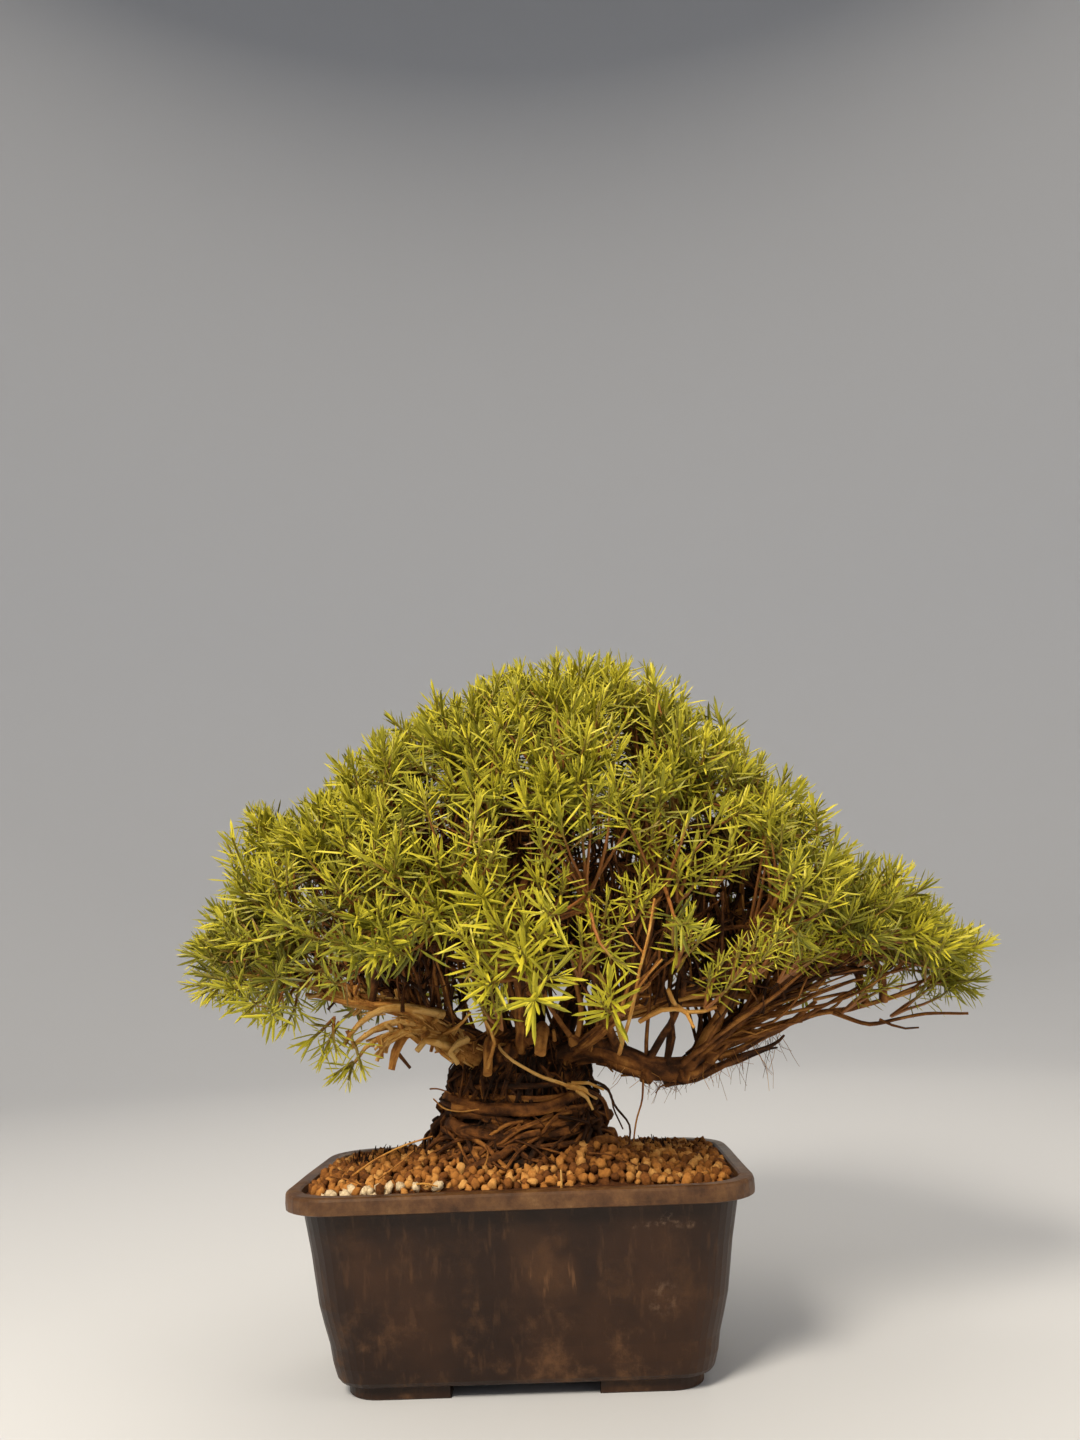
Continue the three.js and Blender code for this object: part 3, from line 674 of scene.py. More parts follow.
# The profile of the shell as height and inset from the lip's outside, once round.
POT_PROFILE = [
    (5, 24.5), (5.1, 23.4), (6, 21.6), (7.5, 20.6), (13, 19), (20, 17.7), (28, 15.4), (36, 13.3),
    (46, 11.6), (56, 10), (68, 7.7), (79.4, 5.5), (80, 5), (80.2, 2.2), (79.6, 1.7), (75.6, 1.8),
    (75.1, 1.5), (75, 0.7), (75.3, 0.2), (77, 0), (80.5, 0), (81.6, 0.3), (82, 1.1), (82, 5),
    (81.4, 5.9), (75, 8.2), (56, 12.2), (36, 15.5), (20, 20), (9.5, 22.6), (8, 25),
]
FOOT_INSET, FOOT_WIDTH, FOOT_TOP, FOOT_GAP_X, FOOT_GAP_Y = 25, 10, 6.5, 31, 15
DRAIN_RADIUS, DRAIN_SIDES, DRAIN_X, DRAIN_Y, DRAIN_Z = 4, 20, (-52, 0, 52), (-24, 24), (-4, 14)


def corner_arc(inset, quarter):
    """Points round one corner of a rounded rectangle, the quarters counted anticlockwise."""
    half_x, half_y = POT_LENGTH - inset, POT_DEPTH - inset
    corner = max(POT_CORNER - 0.4 * inset, 8)
    sx, sy = ((1, 1), (-1, 1), (-1, -1), (1, -1))[quarter]
    turns = [(quarter + i / CORNER_STEPS) * pi / 2 for i in range(CORNER_STEPS + 1)]
    return [(sx * (half_x - corner) + corner * cos(turn), sy * (half_y - corner) + corner * sin(turn))
            for turn in turns]


def rounded_ring(inset, z):
    """Points round a rounded rectangle, even along its sides."""
    arcs = [[Vector((x, y, z)) for x, y in corner_arc(inset, quarter)] for quarter in range(4)]
    ring = []
    for arc, after in zip(arcs, arcs[1:] + arcs[:1]):
        ring.extend(arc)
        ring.extend(arc[-1].lerp(after[0], i / SIDE_STEPS) for i in range(1, SIDE_STEPS))
    return ring


def bowed(point):
    """The slight unevenness of a used plastic wall, none at the floor and the feet."""
    rise = clamp((point.z - 12) / 40, 0, 1)
    outward = Vector((point.x / POT_LENGTH, point.y / POT_DEPTH, 0))
    swell = noise.noise(Vector((point.x * 0.02, point.y * 0.02, point.z * 0.03)))
    corner = max(0.0, abs(point.x) / POT_LENGTH - 0.72) * max(0.0, abs(point.y) / POT_DEPTH - 0.6)
    dent = 14 * corner * math.exp(-((point.z - 21) / 6) ** 2)
    return point + outward * (0.7 * rise * swell - dent - 0.35 * rise)


def joined_rings(rings):
    """Faces between rings of equal counts, and a flat cap at each end."""
    count, last = len(rings[0]), (len(rings) - 1) * len(rings[0])
    faces = []
    for a in range(0, last, count):
        faces.extend((a + i, a + (i + 1) % count, a + count + (i + 1) % count, a + count + i)
                     for i in range(count))
    return [*faces, tuple(reversed(range(count))), tuple(range(last, last + count))]


def tidy_normals(piece, *others):
    """Turns every face outwards, after the meshes of other pieces are taken in."""
    builder = bmesh.new()
    for part in (piece, *others):
        builder.from_mesh(part.data)
    bmesh.ops.recalc_face_normals(builder, faces=builder.faces)
    builder.to_mesh(piece.data)
    builder.free()
    for part in others:
        bpy.data.objects.remove(part)


def flat(rings):
    return [point for ring in rings for point in ring]


def lofts(name, sets_of_rings, **painted):
    """One object of closed lofts, each with its own rings."""
    points, faces = [], []
    for rings in sets_of_rings:
        faces.extend(tuple(len(points) + i for i in face) for face in joined_rings(rings))
        points.extend(flat(rings))
    piece = new_piece(name, points, faces=faces, **painted)
    tidy_normals(piece)
    return piece


def drain_ring(x, y, z):
    turns = [tau * i / DRAIN_SIDES for i in range(DRAIN_SIDES)]
    return [Vector((x + DRAIN_RADIUS * cos(turn), y + DRAIN_RADIUS * sin(turn), z)) for turn in turns]


pot = lofts("pot_shell", [[[bowed(point) for point in rounded_ring(inset, z)] for z, inset in POT_PROFILE]])
drains = lofts("drains", [[drain_ring(x, y, z) for z in DRAIN_Z] for x in DRAIN_X for y in DRAIN_Y])
cut = pot.modifiers.new("drainage holes", "BOOLEAN")
cut.object = drains
cut.solver = "EXACT"
holed = bpy.data.meshes.new_from_object(pot.evaluated_get(bpy.context.evaluated_depsgraph_get()))
pot.modifiers.clear()
pot.data = holed
bpy.data.objects.remove(drains)

# %% Feet of the pot


def foot_points(sx, sy):
    """The plan of one bracket foot: round the outside of its corner and back along the inside."""
    rows = []
    for inset in (FOOT_INSET, FOOT_INSET + FOOT_WIDTH):
        half_x, half_y = POT_LENGTH - inset, POT_DEPTH - inset
        rows.append([(FOOT_GAP_X, half_y), *reversed(corner_arc(inset, 0)), (half_x, FOOT_GAP_Y)])
    return [(sx * x, sy * y) for x, y in rows[0] + rows[1][::-1]]


feet = lofts("feet", [
    [[Vector((x * shrink, y * shrink, z)) for x, y in foot_points(sx, sy)]
     for z, shrink in ((0, 0.985), (0.5, 0.995), (FOOT_TOP, 1.0))]
    for sx in (-1, 1) for sy in (-1, 1)])
tidy_normals(pot, feet)
print("pot triangles:", triangles(pot))

# %% [markdown]
# The plastic is nearly black brown and dull. Years of watering left it dusty: a grey brown film
# on the lip, pale mottling low on the wall, one broad wiped smear and a few fine scratches. Each
# mark is a soft mask worked out from the place on the wall, and the masks only mix colours.

# %% Finish of the plastic
plastic = Finish("pot plastic", roughness=0.6, specular_ior_level=0.28)
place = plastic.vectors("SUBTRACT", plastic.place(), POT_FOOT)
axes = plastic.put("ShaderNodeSeparateXYZ", {0: place})
across, depth, height = (axes.also(k) / MM for k in "XYZ")


def spot(x, z, wide, tall, edge=0.4, lean=0.0):
    """A soft ellipse on the front wall, in millimetres, frayed by noise."""
    dx = (across - x - (height - z) * lean) / wide
    dz = (height - z) / tall
    fray = (plastic.mottle(160, 4, place) - 0.5) * 1.6
    front = depth.step(-30, -45)
    return (dx * dx + dz * dz + fray).step(1 + edge, 1 - edge) * front


dust = plastic.mottle(55, 6, place, 0.7).step(0.48, 0.74)
film = plastic.mottle(16, 4, place, 0.6).step(0.42, 0.68)
fine = plastic.mottle(240, 5, place, 0.7).step(0.46, 0.8) * 0.7
low_wall = height.step(50, 8)
lip_band = height.step(74.2, 75.4)
streaks = plastic.mottle(1, 3, plastic.vectors("MULTIPLY", place, (300, 300, 40))).step(0.56, 0.72)
smear = (spot(5, 57, 8, 15, 0.9, -0.35) + spot(14, 47, 9, 8, 0.9, 0.2)).held() * (0.12 + 0.5 * streaks)
marks = spot(62, 66, 16, 1.5, 0.8, 0.0) * 0.7 + spot(57, 38, 7, 6, 0.9) * 0.6
marks = marks + spot(59.6, 69, 2.4, 3.4, 0.5, 0.7)
colour = plastic.blend((film * 0.7).held(), (0.016, 0.0064, 0.0028), (0.044, 0.018, 0.007))
worn = dust * (0.25 + 0.6 * low_wall) + smear + streaks * 0.2
colour = plastic.blend(worn.held(), colour, (0.12, 0.057, 0.024))
colour = plastic.blend((marks * fine).held(), colour, (0.3, 0.19, 0.12))
grime = plastic.mottle(75, 6, place, 0.75)
lip_colour = plastic.ramp(grime, [
    (0.3, (0.035, 0.016, 0.008)), (0.48, (0.1, 0.046, 0.019)),
    (0.62, (0.162, 0.081, 0.032)), (0.78, (0.28, 0.165, 0.078))])
colour = plastic.blend((lip_band * (0.65 + 0.35 * film)).held(), colour, lip_colour)
plastic.feed("Base Color", colour)
plastic.feed("Roughness", 0.42 + 0.25 * dust + 0.2 * smear.held())
plastic.bump(plastic.mottle(700, 3, place) * 0.6 + dust, 0.35, 0.0003)
pot.data.materials.clear()
pot.data.materials.append(plastic.material)
for polygon in pot.data.polygons:
    polygon.material_index = 0
finished(pot, "pot", "pot")
print("pot finish ready")

# %% [markdown]
# The soil is a mound of fired clay granules, four to six millimetres each, with a little pale
# pumice in one corner. Modelling over a thousand by hand is hopeless, so four lumps are made and
# Geometry Nodes lay them over the mound at an even spacing, each turned and scaled by chance. A
# closed bed under them, painted in the darkest clay tone as the shade deep between the granules,
# stops the eye there.

# %% Bed and granules
MOUND_EDGE, MOUND_HEIGHT, MOUND_X, MOUND_SPREAD_X, MOUND_SPREAD_Y = 80.5, 16, -3, 62, 44
DIP_DEPTH, DIP_Y, DIP_SPREAD_X, DIP_SPREAD_Y = 1.5, -46, 24, 14
HEAP_HEIGHT, HEAP_X, HEAP_Y, HEAP_SPREAD_X, HEAP_SPREAD_Y = 8.5, 36, -38, 17, 12
EDGE_RISE, EDGE_FROM_X = 3.0, -60
BED_INSET, BED_SINK, BED_FLOOR, BED_RINGS = 7.6, 2.6, 66, 30
GRANULE_SIZE, GRANULE_SINK, LAYER_DROP = 2.05, 0.4, 2.1
# The corner of pale pumice: where it ends, over how far it thins out and the share elsewhere.
PUMICE_X, PUMICE_Y, PUMICE_WIDTH, PUMICE_DEPTH, STRAY_PUMICE = -34, -62, 26, 16, 0.012


def soil_height(x, y):
    mound = math.exp(-((x - MOUND_X) / MOUND_SPREAD_X) ** 2 - (y / MOUND_SPREAD_Y) ** 2)
    dip = math.exp(-((x - MOUND_X) / DIP_SPREAD_X) ** 2 - ((y - DIP_Y) / DIP_SPREAD_Y) ** 2)
    edge = max(abs(x) / POT_LENGTH, abs(y) / POT_DEPTH) ** 6
    heap = math.exp(-((x - HEAP_X) / HEAP_SPREAD_X) ** 2 - ((y - HEAP_Y) / HEAP_SPREAD_Y) ** 2)
    level = MOUND_EDGE + MOUND_HEIGHT * mound - DIP_DEPTH * dip + HEAP_HEIGHT * heap
    return level + EDGE_RISE * edge * (x > EDGE_FROM_X)


def mound_rings(inset, sink):
    """Rings of the mound from the pot's wall to its middle."""
    outline = rounded_ring(inset, 0)
    rings = []
    for k in range(BED_RINGS):
        share = 1 - k / BED_RINGS
        ring = []
        for point in outline:
            x, y = point.x * share, point.y * share
            ring.append(Vector((x, y, soil_height(x, y) - sink + 0.6 * noise.noise(Vector((x, y, 0)) * 0.2))))
        rings.append(ring)
    return rings


def mound_surface(inset, sink):
    """Points and faces over the mound, closed at the middle by a fan."""
    rings = mound_rings(inset, sink)
    count, centre = len(rings[0]), len(rings) * len(rings[0])
    last = centre - count
    faces = joined_rings(rings)[:-2]
    faces.extend((last + i, last + (i + 1) % count, centre) for i in range(count))
    return [*flat(rings), Vector((0, 0, soil_height(0, 0) - sink))], faces


def lump(name, seed, size):
    """One granule: a rough rounded lump of a few dozen faces."""
    builder = bmesh.new()
    bmesh.ops.create_uvsphere(builder, u_segments=8, v_segments=5, radius=1)
    for vertex in builder.verts:
        push = 1 + 0.6 * noise.noise(vertex.co * 1.4 + Vector((seed * 7.3, 0, 0)))
        vertex.co = Vector((vertex.co.x * 1.24, vertex.co.y * 0.96, vertex.co.z * 0.78)) * push * size * MM
    mesh = bpy.data.meshes.new(name)
    builder.to_mesh(mesh)
    builder.free()
    mesh.polygons.foreach_set("use_smooth", [True] * len(mesh.polygons))
    return bpy.data.objects.new(name, mesh)


def kit(name, pieces):
    """A collection of small parts that a recipe picks from. It is never linked to the scene."""
    collection = bpy.data.collections.new(name)
    for part in pieces:
        collection.objects.link(part)
    return collection


clay = Finish("fired clay", roughness=0.95, specular_ior_level=0.2)
clay_tone = clay.painted("tone")
pale = clay.painted("pale")
crumb = clay.mottle(900, 4)
clay_colour = clay.ramp(clay_tone + (crumb - 0.5) * 0.5, [
    (0.0, (0.055, 0.019, 0.006)), (0.3, (0.185, 0.068, 0.017)), (0.65, (0.42, 0.18, 0.042)),
    (1.0, (0.68, 0.39, 0.13))])
pumice_colour = clay.ramp(crumb, [(0.3, (0.42, 0.32, 0.2)), (0.7, (0.78, 0.66, 0.46))])
clay.feed("Base Color", clay.blend(pale, clay_colour, pumice_colour))
clay.bump(clay.mottle(2200, 3) + 0.5 * crumb, 0.5, 0.0004)

scatter = Recipe("granules over a mound", Spacing=0.0042, Smallest=0.74, Largest=1.22, Seed=1)
spread = scatter.put("GeometryNodeDistributePointsOnFaces", {
    "Mesh": scatter.source, "Distance Min": scatter["Spacing"], "Density Max": 120000.0,
    "Seed": scatter["Seed"]}, distribute_method="POISSON")
turns = {0: (0, 0, 0), 1: (tau, tau, tau), "Seed": 12}
turned = scatter.put("FunctionNodeRandomValue", turns, data_type="FLOAT_VECTOR")
scaled = scatter.draw(scatter["Smallest"], scatter["Largest"], 13)
granule_kit = kit("granules", [lump(f"granule {k}", k, GRANULE_SIZE) for k in range(4)])
granules = scatter.lay(spread, granule_kit, 11, Rotation=turned, Scale=scaled)
granules = scatter.paint(granules, "tone", scatter.draw(0.1, 0.88, 14), "INSTANCE")
is_pale = scatter.painted("pumice") > scatter.draw(0.02, 1.0, 15)
granules = scatter.paint(granules, "pale", is_pale, "INSTANCE")
scatter.end(granules, clay.material)


def mound_piece(name, inset, sink):
    """The open surface that granules are laid on, with the share of pumice painted on it."""
    points, faces = mound_surface(inset, sink)
    pumice = []
    for point in points:
        front = max(0.0, 1 - (point.y - PUMICE_Y) / PUMICE_DEPTH)
        left = clamp((PUMICE_X - point.x) / PUMICE_WIDTH, 0.0, 1.0)
        pumice.append(min(0.85, 1.3 * front * left) + STRAY_PUMICE)
    return new_piece(name, points, faces=faces, pumice=pumice)


upper = scatter.apply(mound_piece("upper granules", 10.2, GRANULE_SINK), Spacing=0.0034, Seed=3)
lower = scatter.apply(mound_piece("lower granules", 10.6, GRANULE_SINK + LAYER_DROP), Spacing=0.0048, Seed=8)

bed_points, bed_faces = mound_surface(BED_INSET, BED_SINK)
floor_start = len(bed_points)
ring_count = floor_start // BED_RINGS
bed_points.extend([Vector((p.x * 0.97, p.y * 0.97, BED_FLOOR)) for p in bed_points[:ring_count]])
bed_faces.extend((i, floor_start + i, floor_start + (i + 1) % ring_count, (i + 1) % ring_count)
                 for i in range(ring_count))
bed_faces.append(tuple(floor_start + i for i in reversed(range(ring_count))))
# The bed gets the darkest clay tone: painted shade deep between the granules.
bed = new_piece("bed", bed_points, faces=bed_faces, tone=[0.02] * len(bed_points), pale=[0] * len(bed_points))
bed.data.materials.append(clay.material)
tidy_normals(bed)


def join(name, *pieces):
    """Several objects made one."""
    first = pieces[0]
    with bpy.context.temp_override(active_object=first, selected_editable_objects=list(pieces)):
        bpy.ops.object.join()
    first.name = name
    return first


soil = join("clay_granules", upper, lower, bed)
finished(soil, "soil", "soil")
print("soil triangles:", triangles(soil))

# %% [markdown]
# Wood is grown from routes as well. The recipe below runs a ring along each route, and pushes
# its surface in and out by a noise that is stretched along the limb, which is what the fibres
# and the peeling bark of an old rosemary look like. The same noise is kept on the mesh, so that
# the colour of the bark agrees with its ridges.

# %% Bark and the recipe for limbs
bark = Finish("bark", roughness=0.85, specular_ior_level=0.2)
bark_tone = bark.painted("tone")
grain = bark.painted("grain")
speckle = bark.mottle(350, 5, None, 0.65)
patches = bark.mottle(90, 3)
bark_mix = bark_tone + (grain - 0.5) * 1.5 + (speckle - 0.5) * 0.5 + (patches - 0.5) * 0.6
bark_colour = bark.ramp(bark_mix, [
    (0.0, (0.013, 0.006, 0.003)), (0.25, (0.056, 0.021, 0.007)), (0.48, (0.2, 0.074, 0.018)),
    (0.72, (0.45, 0.2, 0.045)), (0.9, (0.57, 0.3, 0.07)), (1.0, (0.7, 0.43, 0.14))])
bark.feed("Base Color", bark_colour)
bark.bump(speckle + grain + bark.mottle(1400, 3), 0.8, 0.0008)

limb_recipe = Recipe("limbs along routes", Sides=8, Step=0.003, Bark_depth=0.9, Fibres=1.9, Stretch=70.0)
limb_curve = limb_recipe.put("GeometryNodeMeshToCurve", {0: limb_recipe.source})
limb_curve = limb_recipe.resampled(limb_curve, limb_recipe["Step"])
run = limb_recipe.put("GeometryNodeSplineParameter", output="Length")
turn_round = limb_recipe.put("GeometryNodeSplineParameter", output="Factor") * tau
hoop = limb_recipe.paint(limb_recipe.hoop(limb_recipe["Sides"]), "turn", turn_round)
tube = limb_recipe.tube(limb_recipe.paint(limb_curve, "run", run), hoop)
turn_round = limb_recipe.painted("turn")
fibre_place = limb_recipe.vector(
    turn_round.maths("COSINE", turn_round) * limb_recipe["Fibres"],
    turn_round.maths("SINE", turn_round) * limb_recipe["Fibres"],
    limb_recipe.painted("run") * limb_recipe["Stretch"] + limb_recipe.painted("chain") * 3.7)
fibre = {"Vector": fibre_place, "Scale": 1.0, "Detail": 3.0, "Roughness": 0.6}
tube = limb_recipe.paint(tube, "grain", limb_recipe.put("ShaderNodeTexNoise", fibre))
push = (limb_recipe.painted("grain") - 0.5) * limb_recipe.painted("girth") * limb_recipe["Bark_depth"]
push = {0: limb_recipe.put("GeometryNodeInputNormal"), "Scale": push}
push = limb_recipe.put("ShaderNodeVectorMath", push, operation="SCALE")
tube = limb_recipe.put("GeometryNodeSetPosition", {"Geometry": tube, "Offset": push})
limb_recipe.end(tube, bark.material)
print("bark recipe ready")

# %% [markdown]
# The trunk is hardly taller than it is wide: a fibrous block with roots wound round it, painted
# near black both for its own dark wood and as shade in the recesses between the roots. Its
# block is a loft whose rings follow the solid's, roughened by noise. Wound roots, thin vertical
# fibres and small roots that arch into the soil are routes over that block.

# %% Trunk block
# Rings of the trunk above the soil: z, half sizes, sideways shift and ridge or groove.
TRUNK = [
    (56, 44, 37, 0, 0), (89, 46, 39, 0, 0), (92, 43, 36, 0, 1), (96, 36, 29, 0, -1),
    (101, 41.5, 34.5, 0, 1), (105, 35, 28, 0, -1), (111, 38.5, 31.5, -1, 1), (116, 32, 26, -1, -1),
    (121, 35, 28, -1, 1), (128, 30, 23, 0, 0), (136, 27, 19, 2, 0), (143, 20, 13, 4, 0),
]
TRUNK_SIDES, TRUNK_LEVELS, TRUNK_FROM, TRUNK_TO = 96, 84, 86, 143


def trunk_point(turn, z, lift=0.0):
    """The trunk's surface at a height and a turn round it."""
    half_x, half_y, shift, ridge = (between(z, TRUNK, column) for column in range(1, 5))
    flute = 0.98 + 0.05 * sin(5 * turn + 0.12 * z)
    slope = ridge * 2.4 * sin(turn + 0.9 * z)
    x, y = (half_x * flute + lift) * cos(turn), (half_y * flute + lift) * sin(turn)
    return Vector((shift + x, y, z + slope))


trunk_rings = []
for k in range(TRUNK_LEVELS + 1):
    z = lerp(TRUNK_FROM, TRUNK_TO, k / TRUNK_LEVELS)
    ring = []
    for i in range(TRUNK_SIDES):
        turn = tau * i / TRUNK_SIDES
        point = trunk_point(turn, z, -1.5)
        rough = noise.fractal(Vector((point.x * 0.16, point.y * 0.16, point.z * 0.07)), 0.7, 2.1, 4)
        knob = noise.noise(point * 0.07 + Vector((9, 0, 0)))
        ring.append(point + Vector((cos(turn), sin(turn), 0)) * (1.9 * rough + 1.6 * knob))
    trunk_rings.append(ring)
# The block is dark all over, partly as painted shade between the wound roots, and paler towards the upper
# left.
trunk_tones, trunk_grain = [], []
for point in flat(trunk_rings):
    upper_left = max(0.0, -point.x / 60) * max(0.0, (point.z - 122) / 20)
    trunk_tones.append(0.17 + 0.8 * upper_left)
    stretched = Vector((point.x * 0.5, point.y * 0.5, point.z * 0.12))
    trunk_grain.append(0.5 + 0.5 * noise.fractal(stretched, 0.8, 2, 3))
trunk = lofts("trunk", [trunk_rings], tone=trunk_tones, grain=trunk_grain)
trunk.data.materials.append(bark.material)
print("trunk triangles:", triangles(trunk))

# %% Wound roots, fibres and arching roots
# Wound roots: start and end turn in degrees, start and end height, thickness, tone.
COILS = [
    (182, 352, 112, 113, 3.3, 0.5), (188, 318, 114.5, 114, 1.8, 0.58), (215, 356, 110, 112.5, 1.9, 0.46),
    (172, 300, 109.5, 111, 1.6, 0.36), (205, 345, 101, 96, 2.8, 0.42), (150, 330, 119, 117, 1.6, 0.3),
    (190, 320, 106, 104, 2.2, 0.44), (235, 352, 105.5, 101, 1.7, 0.5), (196, 270, 103, 97, 2.0, 0.5),
    (300, 400, 108, 103, 2.3, 0.34), (20, 190, 112, 106, 3.4, 0.36),
    (0, 150, 101, 97, 2.8, 0.34), (60, 170, 117, 115, 2.0, 0.3),
]
FIBRES, SLOPING_ROOTS, ARCHING_ROOTS = 170, 64, 16
random.seed(41)

roots = Bundle()
for start, end, z0, z1, thick, tone in COILS:
    points = []
    count = max(6, round((end - start) / 11))
    for i in range(count + 1):
        turn = math.radians(lerp(start, end, i / count))
        z = lerp(z0, z1, i / count) + 1.4 * sin(2.3 * turn + end)
        tuck = -3.5 if i in (0, count) else 0
        points.append(trunk_point(turn, z, 0.1 * thick + tuck + 1.1 * sin(3 * turn + start)))
    roots.add_route(points, (thick, 0.7 * thick), (tone - 0.07, tone - 0.13), 1.1, 2.5)

for _ in range(FIBRES):
    turn = uniform(0, tau)
    high = uniform(116, 140)
    low = high - uniform(10, 34)
    drift = uniform(-0.5, 0.5)
    points = [trunk_point(turn + drift * s, lerp(high, max(low, 92), s), uniform(-0.9, 1.4))
              for s in (0, 0.25, 0.5, 0.75, 1)]
    thick = choice((0.35, 0.5, 0.7, 1.1))
    roots.add_route(points, (thick, 0.6 * thick), uniform(0.05, 0.3), 1.2, 4)

for _ in range(SLOPING_ROOTS):
    turn = math.radians(uniform(170, 380))
    high = uniform(92, 111)
    sweep = choice((-1, -1, 1)) * uniform(0.35, 1.1)
    low = uniform(81, 94)
    lift = uniform(0.2, 2.4)
    points = [trunk_point(turn + sweep * s, lerp(high, low, s ** 1.4), lift + uniform(-0.6, 0.8))
              for s in (0, 0.25, 0.5, 0.75, 1)]
    thick = choice((0.8, 1.1, 1.5, 2.1))
    roots.add_route(points, (thick, 0.6 * thick), uniform(0.12, 0.5), 1.3, 3)

for k in range(ARCHING_ROOTS):
    turn = math.radians(uniform(150, 390))
    sweep = choice((-1, 1)) * uniform(0.3, 0.8)
    start = trunk_point(turn, uniform(94, 101), 0)
    out = Vector((cos(turn + sweep), sin(turn + sweep), 0))
    foot = trunk_point(turn + sweep, 92, 0) + out * uniform(2, 8)
    foot.z = soil_height(foot.x, foot.y) - 2
    crest = start.lerp(foot, 0.45) + out * 2 + Vector((0, 0, 2.5))
    thick = uniform(0.6, 1.3)
    tone = uniform(0.15, 0.5)
    roots.add_route([start, crest, foot], (thick, 0.7 * thick), tone, 0.8, 2.5)

# Loose roots: two dark wires and a thicker one at the right, a thread down from the limb, and two
# pale threads at the left.
LOOSE_ROOTS = [
    ([(30, -24, 121), (35, -32, 120), (40, -30, 117), (43, -26, 109), (49, -27, 101), (48, -30, 93)],
     (0.7, 0.45), 0.1),
    ([(34, -22, 118), (41, -24, 115), (42, -28, 108), (46, -26, 99)], (0.45, 0.35), 0.15),
    ([(56, -30, 120), (55, -32, 112), (52, -31, 104), (50, -30, 94)], (0.5, 0.35), 0.6),
    ([(-39, -20, 114), (-33, -30, 111), (-24, -37, 110), (-17, -39, 111)], (0.35, 0.3), 0.8),
    ([(-41, -16, 118), (-36, -26, 119), (-30, -31, 117)], (0.4, 0.3), 0.6),
    ([(26, -32, 118), (33, -36, 116), (38, -34, 112), (40, -30, 104)], (1.0, 0.8), 0.3),
]
roots.add_table(LOOSE_ROOTS, 0.4, 2.5)
wound_roots = limb_recipe.apply(roots.piece("wound_roots"), Sides=7, Step=0.0026, Bark_depth=0.9)
print("roots:", roots.chains, "triangles:", triangles(wound_roots))

# %% [markdown]
# Limbs keep the solids' routes. An old rosemary limb is seldom one round rod: strands of wood run
# side by side and knots stand out where twigs died. So each thick limb gets four thinner strands
# that wander along it and part towards its end. Short swollen routes make the knots, broken twig
# ends stand on the gnarled left limbs, and thin strips of bark peel off.

# %% Limbs
STRANDS_FROM, STRANDS, SPREAD, BROKEN_ENDS = 3.3, 4, 11, 44
KNOTS = [
    ((-34, -26, 139), 3.9, 0.85), ((-42, -28, 143), 3.3, 0.9), ((-50, -33, 149), 2.8, 0.8),
    ((-28, -20, 133), 3.0, 0.55), ((-24, -26, 131), 2.4, 0.7), ((-20, -24, 136), 2.8, 0.6),
    ((-46, -30, 149), 2.8, 0.66),
    ((26, -22, 138), 3.6, 0.6), ((17, -24, 140), 3.0, 0.62), ((34, -22, 135), 3.0, 0.55),
    ((58, -28, 121), 4.2, 0.4), ((74, -26, 120), 4.0, 0.36), ((88, -20, 128), 3.8, 0.42),
    ((6, -22, 140), 4.4, 0.45), ((-60, -35, 158), 2.8, 0.7), ((-4, -22, 133), 4.0, 0.3),
]
wood = Bundle()
for name, (girth, tone, points) in LIMBS.items():
    route = LIMB_ROUTES[name]
    thinner, tip_thinner = (0.7, 0.45) if girth[0] > STRANDS_FROM else (1, 1)
    gnarled = 2.0 if name.startswith("left") else 1.0
    wood.add_route(route, (thinner * girth[0], tip_thinner * girth[1]), tone, 0.7 * gnarled)
    if girth[0] > STRANDS_FROM and len(points) > 3:
        for strand in range(STRANDS):
            beside = []
            for i in range(7):
                t = lerp(0.04, 0.8, i / 6)
                side = route.tangent(t).cross(Vector((0.3, -0.8, 0.5))).normalized()
                other = side.cross(route.tangent(t))
                turn = tau * (0.25 * strand + 0.5 * t + 0.3 * draw(len(points), strand))
                reach = 0.62 * lerp(girth[0], girth[1], t ** 0.7) + SPREAD * max(0.0, t - 0.45)
                beside.append(route.at(t) + reach * (side * cos(turn) + other * sin(turn)))
            shade = min(0.9, tone[0] + (-0.22, 0.16, 0.04, -0.1)[strand])
            wood.add_route(beside, (0.4 * girth[0], 0.4 * girth[1]), (shade, tone[1]), 1.1 * gnarled)
for centre, size, tone in KNOTS:
    axis = Vector([draw(round(centre[k]), 5 + k) - 0.5 for k in range(3)]).normalized()
    middle = Vector(centre)
    points = [middle + axis * size * s for s in (-1, -0.75, -0.3, 0.3, 0.75, 1)]
    wood.add(points, girth=[MM * size * g for g in (0.3, 0.75, 1, 0.95, 0.7, 0.25)], tone=tone)
# The short broken ends of twigs on the left limbs.
random.seed(17)
for k in range(BROKEN_ENDS):
    route = LIMB_ROUTES[("leftTop", "leftLow", "leftTop")[k % 3]]
    t = uniform(0.12, 0.8)
    out = stray(1).cross(route.tangent(t)).normalized()
    out = (out + route.tangent(t) * uniform(0.2, 0.8)).normalized()
    start = route.at(t)
    end = start + out * uniform(5, 11)
    elbow = start.lerp(end, 0.55) + stray(1.6)
    thick = uniform(0.7, 1.7)
    shade = uniform(0.65, 1.1)
    wood.add_route([start, elbow, end], (thick, 0.7 * thick), shade, 1.0, 2.5)
